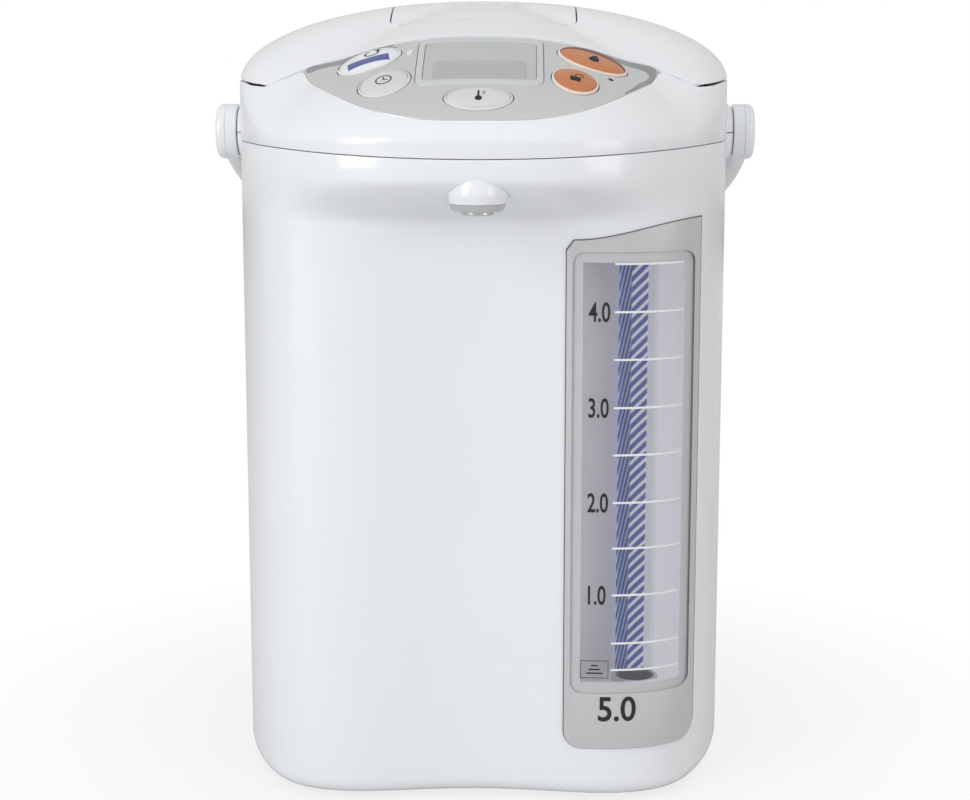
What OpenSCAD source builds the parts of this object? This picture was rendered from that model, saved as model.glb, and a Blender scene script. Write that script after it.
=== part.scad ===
// Electric thermo pot: a tall insulated water boiler with a motor pump,
// a hinged lid, a carrying bail and a level gauge up its front corner.
// Millimetres, +Z up, front towards -Y, origin on the floor under the swivel axis.

/* [Body] */
// Width of the housing
body_w = 210; // [206:1:216]
// Reach of the beak in front of the swivel axis
beak_reach = 137; // [134:1:142]
// Fullness of the housing's front in plan (2 is an ellipse)
plan_power = 2.5; // [2.3:0.1:2.8]
// How far the flat lower front is cut back behind the beak
front_cut = 27; // [25:1:29]
// Depth of the hollow down the middle of the lower front
front_hollow = 4.5; // [3:0.5:5]
// Rounding between the lower front and the sides
front_blend = 22; // [16:1:26]
// Wall of the moulded housings
wall = 2.5; // [2.2:0.1:2.8]
// Rounding round the foot of the housing
foot_round = 7; // [5:0.5:8]
// Height of the seam between housing and shoulder at the sides
seam_z = 269; // [268:0.5:270]
// How much the seam dips at the beak
seam_dip = 3.5; // [2:0.5:4]
// Height where the front hollow starts to swell into the beak
hollow_top_z = 239; // [236:1:240]
// Height of the beak's lower lip
lip_z = 258; // [256:0.5:260]

/* [Dome] */
// Total height
dome_top = 328; // [326:1:330]
// Height where the dome starts at the sides and back
dome_side_z = 294; // [293:0.5:295]
// Height where the dome starts at the beak
dome_beak_z = 272; // [271:0.5:273]
// Height of the seam round the lid's sides
lid_seam_z = 294.5; // [294.5:0.1:295.5]
// How much that seam drops at the lid's front corners
lid_seam_drop = 2.3; // [1.5:0.1:2.5]
// Distance of the lid's front edge from the swivel axis
lid_front = 65; // [64:0.5:66]
// Wall of the lid's cover
lid_wall = 2.4; // [2:0.1:2.6]

/* [Control panel] */
// Half the width of the eye-shaped panel
panel_half = 75; // [73:0.5:76]
// Margin between its lower edge and the tip of the beak
panel_margin = 6; // [5.5:0.5:8]
// Thickness of the panel
panel_t = 1.6; // [1.2:0.1:1.8]
// Travel of each button
button_travel = 1; // [0.8:0.1:1.2]
// Gap round each button
button_gap = 0.4; // [0.3:0.05:0.5]
// Width of the display's bezel
lcd_w = 50.8; // [48:0.4:51.2]

/* [Tank] */
// Inside diameter of the inner tank
tank_id = 180; // [178:1:181]
// Height of the tank's floor, inside
tank_floor_z = 45.5; // [45:0.5:48]
// Offset of the tank behind the swivel axis
tank_y = 6; // [5:0.5:6.5]
// Diameter of the filling mouth
mouth_d = 128; // [124:1:129]
// Tank sheet thickness
tank_t = 1; // [0.8:0.1:1.2]
// Height of the tank's rim above the deck of the shoulder
rim_lift = 3; // [2.5:0.5:3.5]

/* [Level gauge] */
// Distance of the gauge tube right of the middle
gauge_x = 65; // [63:0.5:66]
// Distance of the gauge tube in front of the swivel axis
gauge_y = 80; // [79:0.5:81]
// Outside diameter of the gauge tube
gauge_d = 16; // [14:0.5:16]
// Bottom of the clear window
window_low_z = 50; // [45:0.2:50]
// Top of the clear window
window_high_z = 225.4; // [220:0.1:226]
// Bottom of the trim round the window
trim_low_z = 24; // [19:0.2:24]
// Height of the trim's top edge at its left end
trim_high_z = 232.6; // [230:0.2:234]
// Rise of the trim's top edge towards the side
trim_rise = 8; // [6:0.5:9]

/* [Spout] */
// Distance of the spout behind the tip of the beak
spout_inset = 10; // [9.5:0.5:11]
// Width of the spout's cover
spout_w = 24; // [22:0.5:24]
// Bore of the spout
spout_bore = 8; // [6:0.5:9]

/* [Handle] */
// Height of the bail's pivots
pivot_z = 271; // [270:0.5:272]
// Radius of each pivot pin
pivot_r = 4; // [3:0.5:5]
// Radial running clearance of the pins
run_gap = 0.05; // [0.02:0.01:0.1]
// How far the pivot bosses stand out of the housing
boss_out = 4; // [3.5:0.5:5]
// Reach of the grip behind the pivots, along the bail
bail_reach = 150; // [146:1:154]
// Slope of the bail at rest, below level
bail_slope = 23.5; // [20:0.5:26]
// Thickness of the bail's arms
arm_t = 9; // [7.5:0.5:9.5]

/* [Lid mechanism] */
// Lid hinge axis behind the swivel axis
hinge_y = 108.5; // [108:0.5:110]
// Lid hinge axis height
hinge_z = 297; // [296:0.5:298]
// Radius of the lid's hinge pin
hinge_r = 1.6; // [1.5:0.1:2]
// Width of the lever plate in the lid
lever_w = 80; // [76:1:84]
// Front edge of the lever, in front of the axis
lever_front = 34; // [32:1:38]
// Back edge of the lever, behind the axis
lever_back = 4; // [2:1:6]
// Travel of the latch
latch_travel = 4; // [3:0.5:4.5]

/* [Pump] */
// Distance of the pump in front of the swivel axis
pump_y = 56; // [54:1:58]
// Outside radius of the pump housing
pump_r = 23; // [22:0.5:24]
// Radius of the impeller
impeller_r = 16; // [14:0.5:17]

/* [Swivel base] */
// Radius of the swivel plate
swivel_r = 76; // [72:1:78]
// Radius of the swivel hub
hub_r = 12; // [10:0.5:13]

/* [Hidden] */
half_w = body_w / 2;
eye_y = 15;                       // the dome's centre behind the swivel axis
ridge_x = 60;                     // half the width of the hollow in the lower front
base_z = 2.5;                     // underside of the housing
front_wall = beak_reach - front_cut;
panel_tip_y = 62;                 // reach of the panel's two tips
panel_reach = beak_reach - panel_margin;
panel_back = lid_front + 1;       // the panel's upper edge
panel_depth = panel_reach - panel_back;
deck_t = 3;                       // deck of the shoulder, round the tank's mouth
deck_z = seam_z + 4;
rim_z = deck_z + rim_lift;
spout_y = beak_reach - spout_inset;
latch_z = hinge_z + 0.6;          // underside of the lid's latch
crown_z = dome_top - 48;          // below all of the lid's top, where cuts through it start
lid_gap = 0.6;                    // seam between the lid and what it closes on
steps = 72;                       // directions round the housing
dt = 360 / steps;
turns = [for (i = [0 : steps - 1]) i * dt];
curve_fn = 48;
white = "whitesmoke";

// ---------- shared curves ----------

function smooth(u) = let (v = min(1, max(0, u))) v * v * (3 - 2 * v);
function soft_max(a, b, k) = let (h = max(k - abs(a - b), 0) / k) max(a, b) + h * h * k / 4;
function from_front(t) = min(abs(t), 360 - t);
function signed_pow(v, p) = sign(v) * pow(abs(v), p);

// The widest outline of the housing: an egg with a fuller front.
function upper_plan(t) = cos(t) > 0.0001
    ? [half_w * signed_pow(sin(t), 2 / plan_power), -beak_reach * pow(cos(t), 2 / plan_power)]
    : [half_w * sin(t), -half_w * cos(t)];

// The lower front is cut flat and slightly hollow.
function front_y(x) = -front_wall + front_hollow * (1 + cos(180 * min(1, abs(x) / ridge_x))) / 2;
function lower_plan(t) = let (p = upper_plan(t))
    cos(t) > 0.0001 ? [p.x, soft_max(p.y, front_y(p.x), front_blend)] : p;

function pull_in(p, d) = p * (1 - d / norm(p));
function housing_plan(t, z) = let (e = smooth((z - hollow_top_z) / (lip_z - hollow_top_z)))
    lower_plan(t) * (1 - e) + upper_plan(t) * e;
function seam(t) = let (p = upper_plan(t))
    seam_z - (cos(t) > 0 ? seam_dip * pow(max(0, 1 - pow(p.x / 95, 2)), 1.3) : 0);

// The dome over the shoulder and the lid: superelliptic rises from the outline to the top.
function side_share(t) = smooth((from_front(t) - 45) / 40);
function dome_z0(t) = dome_beak_z + (dome_side_z - dome_beak_z) * side_share(t);
function dome_m(t) = 1.47 + 0.53 * side_share(t);
function dome_z(s, t) = let (m = dome_m(t), z0 = dome_z0(t))
    z0 + (dome_top - z0) * pow(max(0, 1 - pow(min(1, s), m)), 1 / m);
function level_s(z, t) = let (m = dome_m(t), z0 = dome_z0(t))
    z <= z0 ? 1 : pow(1 - pow((z - z0) / (dome_top - z0), m), 1 / m);
function ray(s, t) = let (p = upper_plan(t)) [s * p.x, eye_y + s * (p.y - eye_y)];
function reach(t) = let (p = upper_plan(t)) norm([p.x, p.y - eye_y]);

// Direction from the dome's centre through a point of the front half, and the dome's height there.
function turn_at(x, y, lo = -90, hi = 90, k = 22) = let (t = (lo + hi) / 2, p = upper_plan(t))
    k == 0 ? t
    : p.x * (y - eye_y) - (p.y - eye_y) * x < 0 ? turn_at(x, y, lo, t, k - 1) : turn_at(x, y, t, hi, k - 1);
function height(x, y) = let (t = turn_at(x, y), p = upper_plan(t))
    dome_z(norm([x, y - eye_y]) / norm([p.x, p.y - eye_y]), t);
function slope_normal(x, y) = let (h = 0.5,
    n = [height(x - h, y) - height(x + h, y), height(x, y - h) - height(x, y + h), 2 * h]) n / norm(n);

// The lid's edge: level round the sides, across the front behind the control panel.
function lid_level(t) = lid_seam_z - lid_seam_drop * (1 - smooth((from_front(t) - 60) / 20));
function lid_front_y(t) = lid_front + 7 * smooth((from_front(t) - 50) / 12);
function front_s(t) = cos(t) > 0.0001
    ? (eye_y + lid_front_y(t)) / (eye_y - upper_plan(t).y) : 9;
function lid_s(t, up = 0) = min(front_s(t), level_s(lid_level(t) + up, t));

// The eye-shaped panel's lower edge.
function panel_low(x) = let (u = min(1, abs(x) / panel_half))
    -(panel_tip_y + (panel_reach - panel_tip_y) * pow(1 - pow(u, 3), 0.9));
function panel_edge_s(t, lo = 0.3, hi = 1, k = 24) = let (s = (lo + hi) / 2, p = ray(s, t))
    k == 0 ? s : p.y < panel_low(p.x) ? panel_edge_s(t, lo, s, k - 1) : panel_edge_s(t, s, hi, k - 1);

// ---------- shared solids ----------

// Closed solid from one closed section per direction, counter-clockwise seen from above.
module loop_solid(sections) {
    n = len(sections);
    m = len(sections[0]);
    polyhedron([for (q = sections) each q],
        [for (i = [0 : n - 1], j = [0 : m - 1])
            let (a = i * m + j, b = i * m + (j + 1) % m, c = ((i + 1) % n) * m + (j + 1) % m, d = ((i + 1) % n) * m + j)
            each [[a, b, c], [a, c, d]]]);
}

// Closed solid from open sections that start round a low point and end round a high point.
module disc_solid(sections, low, high) {
    n = len(sections);
    m = len(sections[0]);
    points = [each [for (q = sections) each q], low, high];
    polyhedron(points,
        [for (i = [0 : n - 1]) let (k = (i + 1) % n) each [
            [n * m, i * m, k * m],
            [n * m + 1, k * m + m - 1, i * m + m - 1],
            for (j = [0 : m - 2]) each [[i * m + j, i * m + j + 1, k * m + j + 1], [i * m + j, k * m + j + 1, k * m + j]]]]);
}

// Tube or bar swept along points; each ring is given, the ends are closed flat.
module swept(rings) {
    n = len(rings);
    m = len(rings[0]);
    polyhedron([for (q = rings) each q],
        [[for (j = [0 : m - 1]) j], [for (j = [m - 1 : -1 : 0]) (n - 1) * m + j],
            for (i = [0 : n - 2], j = [0 : m - 1])
                let (a = i * m + j, b = i * m + (j + 1) % m, c = (i + 1) * m + (j + 1) % m, d = (i + 1) * m + j)
                each [[a, d, c], [a, c, b]]]);
}

function unit(v) = v / norm(v);
function along(path, i) = unit(path[min(i + 1, len(path) - 1)] - path[max(i - 1, 0)]);
function tube_rings(path, r, sides = 12) = [for (i = [0 : len(path) - 1])
    let (d = along(path, i), a = unit(cross(d, abs(d.z) > 0.9 ? [1, 0, 0] : [0, 0, 1])), b = cross(d, a))
    [for (k = [0 : sides - 1]) path[i] + r * (cos(k * 360 / sides) * a + sin(k * 360 / sides) * b)]];
module tube(path, r, sides = 12) swept(tube_rings(path, r, sides));
function bezier(a, b, c, d, n = 12) = [for (i = [0 : n]) let (u = i / n, v = 1 - u)
    v * v * v * a + 3 * v * v * u * b + 3 * v * u * u * c + u * u * u * d];

// Plate that follows the dome inside an outline given in polar form round a centre.
// rim(k) gives the outline point for step k of n; the top rises by bulge towards the middle.
module dome_plate(centre, rim, n, top, thick, bulge = 0, rings = 4) {
    function lift(q, dz) = [q.x, q.y, height(q.x, q.y) + dz];
    disc_solid([for (k = [0 : n - 1]) let (e = rim[k] - centre) [
            for (j = [1 : rings]) lift(centre + e * j / rings, top - thick),
            for (j = [rings : -1 : 1]) lift(centre + e * j / rings, top + bulge * (1 - pow(j / rings, 4)))]],
        lift(centre, top - thick), lift(centre, top + bulge));
}
function ellipse_rim(c, a, b, turn, n = 28) = [for (k = [0 : n - 1]) let (u = k * 360 / n)
    c + [a * cos(u) * cos(turn) - b * sin(u) * sin(turn), a * cos(u) * sin(turn) + b * sin(u) * cos(turn)]];
function box_rim(c, w, h, r, n = 6) = [for (q = [0 : 3], k = [0 : n]) let (u = q * 90 + k * 90 / n,
        sx = (q == 0 || q == 3) ? 1 : -1, sy = q < 2 ? 1 : -1)
    c + [sx * (w / 2 - r) + r * cos(u), sy * (h / 2 - r) + r * sin(u)]];
module ring(r_out, r_in, h) {
    difference() {
        cylinder(r = r_out, h = h, $fn = 96);
        translate([0, 0, -1]) cylinder(r = r_in, h = h + 2, $fn = 96);
    }
}
module plan_slab(inset, h) linear_extrude(h) polygon([for (t = turns) pull_in(lower_plan(t), inset)]);
module rounded_box(w, d, h, r) linear_extrude(h) rounded_rect(w, d, r);
module rounded_rect(w, d, r) {
    square([w - 2 * r, d], center = true);
    square([w, d - 2 * r], center = true);
    for (x = [-1, 1], y = [-1, 1]) translate([x * (w / 2 - r), y * (d / 2 - r)]) circle(r = r, $fn = 32);
}
// Places children with their +Z along the dome's outward normal at a point of the front.
module on_panel(x, y, dz = 0) {
    n = slope_normal(x, y);
    translate([x, y, height(x, y)]) rotate([0, acos(n.z), atan2(n.y, n.x)]) rotate([0, 0, -atan2(n.y, n.x)])
        translate([0, 0, dz]) children();
}

// ---------- housing ----------

foot_rows = [for (a = [0, 30, 60, 90]) [foot_round * (1 - sin(a)), base_z + foot_round * (1 - cos(a))]];
swell_rows = [for (k = [0 : 4]) hollow_top_z + (lip_z - hollow_top_z) * k / 4];
flange_in = 14;
flange_top = base_z + 2.5;
screw_turns = [45, 135, 225, 315];
screw_inset = 10.5;
boss_r = 13;

function housing_section(t) = [
    for (r = foot_rows) [each pull_in(lower_plan(t), r[0]), r[1]],
    for (z = swell_rows) [each housing_plan(t, z), z],
    [each upper_plan(t), seam(t)],
    [each pull_in(upper_plan(t), wall), seam(t)],
    for (k = [4 : -1 : 0]) let (z = swell_rows[k]) [each pull_in(housing_plan(t, z), wall), z + wall * 0.6],
    [each pull_in(lower_plan(t), wall), base_z + foot_round + 3],
    [each pull_in(lower_plan(t), 6), flange_top],
    [each pull_in(lower_plan(t), flange_in), flange_top],
    [each pull_in(lower_plan(t), flange_in), base_z]];

module pivot_axis(x0, x1, r) for (side = [-1, 1]) translate([side * x0, 0, pivot_z]) rotate([0, side * 90, 0])
    cylinder(r = r, h = x1 - x0, $fn = curve_fn);

// Outline of the window as seen from the front, in X and Z.
window_left = 39.6;
window_right = 83.6;
module front_prism(depth0 = 60, depth1 = 140) translate([0, -depth0, 0]) rotate([90, 0, 0])
    linear_extrude(depth1 - depth0) children();
module window_shape(grow = 0) translate([(window_left + window_right) / 2, (window_low_z + window_high_z) / 2])
    rounded_rect(window_right - window_left + 2 * grow, window_high_z - window_low_z + 2 * grow, 2 + grow);

socket_w = 46;
socket_h = 24;
socket_z = 30;

module outer_body() color(white) difference() {
    loop_solid([for (t = turns) housing_section(t)]);
    pivot_axis(half_w - 10, half_w + 7, boss_r + 0.1);
    front_prism() window_shape(-1.5);
    spout_bulge(0.1, spout_low_z - 13.4);
    translate([0, -spout_y, spout_low_z + 1.6]) cylinder(r = spout_w / 2 - 3.9, h = 14, $fn = curve_fn);
    translate([0, half_w + 3, socket_z]) rotate([90, 0, 0]) rounded_box(socket_w + 0.4, socket_h + 0.4, 20, 3.2);
    for (t = screw_turns) translate([each pull_in(lower_plan(t), screw_inset), 0]) {
        cylinder(r = 1.9, h = 10, $fn = 24);
        cylinder(r = 3.3, h = base_z + 1.4, $fn = 24);
    }
}

panel_shelf = 4;
shelf_gap = 0.3;
shoulder_rim = 0.975;
function shoulder_s(t) = min(lid_s(t) + 0.004, shoulder_rim);
function ledge_s(t) = let (inner = shoulder_s(t) + 0.018, base = min(inner, 0.99))
    from_front(t) < 62 ? max(base, panel_edge_s(t)) : base;
function shoulder_z(s, t) = min(dome_z(s, t), dome_z(lid_s(t), t) - 0.5);
function cavity_share(t) = min(1, max(0, (1 - wall / reach(t) - shoulder_s(t) - wall / reach(t)) / 0.1));
function cavity_z(s, t) = deck_z - deck_t
    + cavity_share(t) * (dome_z(s, t) - panel_t - 2.4 - (deck_z - deck_t));

function shoulder_section(t) = let (
        inner = shoulder_s(t),
        ledge = ledge_s(t),
        skin = 1 - wall / reach(t),
        cave = min(inner + wall / reach(t), skin - 0.012),
        step = panel_t + shelf_gap) [
    [each upper_plan(t), seam(t) + 0.3],
    [each upper_plan(t), dome_z0(t) - 0.6],
    for (k = [0 : 4]) let (s = 1 - 0.004 - (0.996 - ledge) * k / 4) [each ray(s, t), shoulder_z(s, t)],
    for (k = [0 : 2]) let (s = ledge - 0.0015 - (ledge - 0.0015 - inner) * k / 2) [each ray(s, t), shoulder_z(s, t) - step],
    [each ray(inner, t), deck_z],
    [each (ray(inner, t) * (60 / reach(t))), deck_z],
    [each (ray(inner, t) * (60 / reach(t))), deck_z - deck_t],
    [each ray(cave - 0.003, t), deck_z - deck_t],
    for (k = [0 : 5]) let (s = cave + (skin - cave) * k / 5) [each ray(s, t), cavity_z(s, t)],
    [each ray(skin, t), seam(t) + 0.3]];

// The panel's outline: the eye's lower edge, and an upper edge that clears the lid's corners.
function eye_rim(inset, n = 24) = [
    for (k = [0 : n]) let (x = (panel_half - 3 - inset) * (2 * k / n - 1)) [x, panel_low(x) + inset],
    for (k = [0 : n]) let (x = (panel_half - 3 - inset) * (1 - 2 * k / n))
        [x, -(panel_back + inset + 1.8 * smooth((abs(x) - panel_half + 13) / 10))]];

module shoulder() color(white) difference() {
    loop_solid([for (t = turns) shoulder_section(t)]);
    pivot_axis(half_w - 10, half_w + 7, boss_r + 0.1);
    translate([0, tank_y, deck_z - 10]) cylinder(r = mouth_d / 2 + 1.5, h = 20, $fn = 96);
    translate([0, 0, deck_z + 4]) linear_extrude(60) polygon(eye_rim(panel_shelf));
    for (i = [0 : 4]) button_hole(i, button_gap, key_depth + button_travel + 2);
    latch_slot(-lid_front - 4);
}
// Slot that the latch's nose enters, through the front wall of the shoulder and through the strike.
module latch_slot(y) translate([-latch_half - 2, y, latch_z - 1.2]) cube([2 * latch_half + 4, 6, 5]);

module bottom_cover() color("dimgray") difference() {
    union() {
        translate([0, 0, base_z]) plan_slab(flange_in + 0.3, flange_top - base_z);
        translate([0, 0, flange_top]) plan_slab(7, 2);
        for (t = screw_turns) translate([each pull_in(lower_plan(t), screw_inset + 1.5), flange_top + 1])
            cylinder(r = 4, h = 8, $fn = 32);
    }
    translate([0, 0, base_z - 1]) cylinder(r = swivel_r + 1.5, h = 3.7, $fn = 96);
    cylinder(r = hub_r + run_gap, h = 20, $fn = 96);
    for (t = screw_turns) translate([each pull_in(lower_plan(t), screw_inset), 0])
        cylinder(r = 1.5, h = 12, $fn = 24);
}

module cover_screws() color("silver") for (t = screw_turns) translate([each pull_in(lower_plan(t), screw_inset), 0]) {
    translate([0, 0, base_z + 0.1]) cylinder(r = 3, h = 1.3, $fn = 24);
    translate([0, 0, base_z + 1.4]) cylinder(r = 1.5, h = 8, $fn = 24);
}

// ---------- swivel base ----------

module swivel_plate() color("dimgray") difference() {
    union() {
        translate([0, 0, 1.2]) cylinder(r = swivel_r, h = 3.7, $fn = 96);
        translate([0, 0, 1.2]) cylinder(r = hub_r, h = 8, $fn = 96);
    }
    translate([0, 0, 0]) cylinder(r = hub_r - 3, h = 20, $fn = 64);
    translate([0, 0, 0]) difference() {
        cylinder(r = swivel_r - 12, h = 3.2, $fn = 96);
        translate([0, 0, -1]) cylinder(r = hub_r + 6, h = 6, $fn = 64);
    }
}
module swivel_feet() color("black") difference() {
    ring(swivel_r - 1.5, swivel_r - 9, 1.2);
    for (a = [0 : 45 : 315]) rotate(a + 22.5) translate([swivel_r - 12, -4, -1]) cube([14, 8, 4]);
}
module swivel_clip() color("gray") translate([0, 0, 7.4]) difference() {
    cylinder(r = hub_r + 5, h = 1.6, $fn = 64);
    translate([0, 0, -1]) cylinder(r = hub_r, h = 4, $fn = 96);
}

// ---------- tank and heating ----------

tank_r = tank_id / 2;
mouth_r = mouth_d / 2;
neck_low_z = deck_z - 25;
neck_high_z = deck_z - 5;
function tank_wall(r_add, z_add) = [
    [0, tank_floor_z - z_add],
    [tank_r - 12, tank_floor_z - z_add],
    for (a = [30, 60, 90]) [tank_r - 12 + (12 + r_add) * sin(a), tank_floor_z + 12 - (12 + z_add) * cos(a)],
    for (u = [0 : 0.2 : 1]) [tank_r + r_add - (tank_r - mouth_r) * smooth(u), neck_low_z + (neck_high_z - neck_low_z) * u + z_add * u],
    [mouth_r + r_add, rim_z]];
module tank() color("silver") translate([0, tank_y, 0]) difference() {
    union() {
        rotate_extrude($fn = 96) polygon([each tank_wall(tank_t, tank_t), [0, rim_z]]);
        translate([0, 0, rim_z - tank_t]) cylinder(r = mouth_r + 7, h = tank_t, $fn = 96);
        translate([0, -pump_y - tank_y, 40]) cylinder(r = 7, h = 6, $fn = 48);
    }
    rotate_extrude($fn = 96) polygon([each tank_wall(0, 0), [mouth_r, rim_z + 1], [0, rim_z + 1]]);
    translate([0, -pump_y - tank_y, 30]) cylinder(r = 5.8, h = 20, $fn = 48);
}
module tank_seal() color("lightgray") translate([0, tank_y, deck_z]) ring(mouth_r + 7, mouth_r + 1.5, rim_z - tank_t - deck_z);
module base_heater() color("gray") translate([0, tank_y, 0]) {
    translate([0, 0, tank_floor_z - tank_t - 4]) ring(50, 20, 4);
    for (x = [-1, 1]) translate([x * 35, 18, tank_floor_z - tank_t - 10]) cylinder(r = 2.5, h = 7, $fn = 24);
}
module band_heater() color("darkgray") translate([0, tank_y, 66]) ring(tank_r + tank_t + 1, tank_r + tank_t, 26);
module thermostat() color("black") translate([0, tank_y, tank_floor_z - tank_t - 11]) {
    cylinder(r = 9, h = 11, $fn = 32);
    for (x = [-1, 1]) translate([x * 5 - 1.5, -0.4, -6]) cube([3, 0.8, 7]);
}
module tank_filter() color("silver") translate([0, -pump_y, tank_floor_z]) difference() {
    union() {
        cylinder(r = 12, h = 1, $fn = 48);
        translate([0, 0, 1]) cylinder(r = 9, h = 6, $fn = 48);
    }
    translate([0, 0, -1]) cylinder(r = 8, h = 7, $fn = 48);
    for (a = [0 : 60 : 300]) rotate(a) translate([4.5, 0, 0]) cylinder(r = 1.6, h = 10, $fn = 16);
    for (a = [0 : 30 : 330]) rotate(a) translate([5, 0, 4]) rotate([0, 90, 0]) cylinder(r = 1.2, h = 8, $fn = 16);
}

// ---------- pump ----------

pump_z = 29.5;
chamber_r = pump_r - 3;
outlet_y = pump_y + 14;
outlet_z = pump_z + 5;
stub_r = 4.9;
module at_pump(z) translate([0, -pump_y, z]) children();
module suction_sleeve() color("lightgray") at_pump(37.2) ring(9.2, 7, 7.1);
module pump_housing() color("white") difference() {
    union() {
        at_pump(pump_z) cylinder(r = pump_r, h = 7.6, $fn = 64);
        at_pump(pump_z + 7.6) cylinder(r = 7, h = 2.8, $fn = 48);
        translate([4, -outlet_y, outlet_z]) rotate([0, 90, 0]) cylinder(r = stub_r, h = 28, $fn = 32);
    }
    at_pump(pump_z - 1) cylinder(r = chamber_r, h = 6.4, $fn = 64);
    at_pump(pump_z) cylinder(r = 5.8, h = 20, $fn = 48);
    translate([4, -outlet_y, outlet_z]) rotate([0, 90, 0]) cylinder(r = 3, h = 30, $fn = 32);
}
module pump_cover() color("white") {
    at_pump(pump_z - 2) cylinder(r = pump_r, h = 2, $fn = 64);
    at_pump(pump_z) cylinder(r = 1.5, h = 5, $fn = 32);
}
module impeller() color("gainsboro") at_pump(pump_z + 0.4) difference() {
    union() {
        cylinder(r = impeller_r, h = 1.4, $fn = 64);
        cylinder(r = 4, h = 4, $fn = 32);
        for (a = [0 : 60 : 300]) rotate(a) translate([3, -0.6, 0]) rotate(-14) cube([impeller_r - 4.5, 1.2, 4]);
    }
    translate([0, 0, -1]) cylinder(r = 1.5 + run_gap, h = 8, $fn = 32);
}
motor_h = 15;
motor_r = 17.5;
module pump_motor() color("silver") difference() {
    union() {
        at_pump(7) cylinder(r = motor_r, h = motor_h, $fn = 64);
        translate([-5, -pump_y + motor_r - 2, 9]) cube([10, 5, 6]);
    }
    at_pump(9) cylinder(r = 1.6 + run_gap, h = 30, $fn = 32);
}
module motor_rotor() color("dimgray") {
    at_pump(9.5) cylinder(r = 1.6, h = 14, $fn = 32);
    at_pump(22.6) cylinder(r = impeller_r - 1, h = 4, $fn = 64);
}
module motor_bracket() color("silver") {
    at_pump(pump_z - 3.5) ring(30, motor_r + 1.5, 1.5);
    for (a = [0, 120, 240]) at_pump(7) rotate(a + 30) translate([26, 0, 0]) cylinder(r = 3, h = pump_z - 10.4, $fn = 24);
}
gauge_low_z = 38;
gauge_high_z = 258;
hose_r = 6.4;
delivery_path = [each bezier([32, -outlet_y, outlet_z], [52, -outlet_y, outlet_z - 1], [gauge_x, -gauge_y, 14],
        [gauge_x, -gauge_y, gauge_low_z - 4], 14),
    [gauge_x, -gauge_y, gauge_low_z - 2], [gauge_x, -gauge_y, gauge_low_z]];
module delivery_hose() color("gainsboro") difference() {
    union() {
        tube(delivery_path, hose_r);
        translate([25, -outlet_y, outlet_z]) rotate([0, 90, 0]) cylinder(r = hose_r, h = 8, $fn = 32);
    }
    translate([20, -outlet_y, outlet_z]) rotate([0, 90, 0]) cylinder(r = stub_r, h = 12, $fn = 32);
}

// ---------- level gauge ----------

module at_gauge(z) translate([gauge_x, -gauge_y, z]) children();
module gauge_tube() color("lightblue") at_gauge(gauge_low_z + 3) ring(gauge_d / 2, gauge_d / 2 - 1.5, gauge_high_z - gauge_low_z - 6);
module tube_grommets() color("dimgray") {
    at_gauge(gauge_low_z) difference() {
        cylinder(r = gauge_d / 2 + 1.6, h = 8, $fn = 48);
        translate([0, 0, 3]) cylinder(r = gauge_d / 2, h = 8, $fn = 48);
        translate([0, 0, -1]) cylinder(r = 4.9, h = 8, $fn = 32);
    }
    at_gauge(gauge_high_z - 8) difference() {
        cylinder(r = gauge_d / 2 + 1.6, h = 8, $fn = 48);
        translate([0, 0, -1]) cylinder(r = gauge_d / 2, h = 6, $fn = 48);
        translate([0, 0, -1]) cylinder(r = 4.9, h = 12, $fn = 32);
    }
}

// Strip of the lower front outline between two directions, from one inset to another.
function strip(t0, t1, in0, in1, n = 24) = [
    for (k = [0 : n]) pull_in(lower_plan(t0 + (t1 - t0) * k / n), in0),
    for (k = [n : -1 : 0]) pull_in(lower_plan(t0 + (t1 - t0) * k / n), in1)];
sheet_gap = 0.12;                 // between the housing and the window and trim that lie on it
gauge_t0 = 14;
gauge_t1 = 64;
backing_low_z = 42;
backing_high_z = 251.6;
// Channel behind the window: a curved sheet along the tank, two side walls, a shelf at each end.
module gauge_channel(solid) difference() {
    intersection() {
        polygon([for (t = turns) pull_in(lower_plan(t), wall + 0.05)]);
        polygon([[window_left - 3, -140], [window_right + 14, -140], [window_right + 14, -40], [window_right - 2, -32], [window_left - 3, -70]]);
    }
    translate([0, tank_y]) circle(r = tank_r + 2.1, $fn = 96);
    if (!solid) intersection() {
        polygon([[window_left - 1.6, -140], [window_right + 10, -140], [window_right + 10, -42], [window_right - 1, -35], [window_left - 1.6, -60]]);
        difference() {
            square(300, center = true);
            translate([0, tank_y]) circle(r = tank_r + 3.5, $fn = 96);
        }
    }
}
module gauge_backing() color("silver") {
    translate([0, 0, backing_low_z]) linear_extrude(backing_high_z - backing_low_z) gauge_channel(false);
    for (z = [backing_low_z, backing_high_z - 1.6]) translate([0, 0, z]) linear_extrude(1.6) difference() {
        gauge_channel(true);
        translate([gauge_x, -gauge_y]) circle(r = gauge_d / 2 + 1.65, $fn = 48);
    }
}
// Half-round printed sheet that hugs the tube from behind, between the two grommets.
strip_span = 68;
module gauge_strip() color("slateblue") at_gauge(gauge_low_z + 8.4) linear_extrude(gauge_high_z - gauge_low_z - 16.8)
    polygon([for (a = [-strip_span : 8.5 : strip_span]) (gauge_d / 2 + 0.75) * [sin(a), cos(a)],
        for (a = [strip_span : -8.5 : -strip_span]) (gauge_d / 2 + 0.15) * [sin(a), cos(a)]]);
module gauge_lens() color("lightgray") intersection() {
    translate([0, 0, window_low_z - 4]) linear_extrude(window_high_z - window_low_z + 8)
        polygon(strip(gauge_t0, gauge_t1, -sheet_gap, -1.05));
    front_prism() window_shape(2.6);
}

trim_left = 34.6;
trim_right = 88.8;
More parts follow.
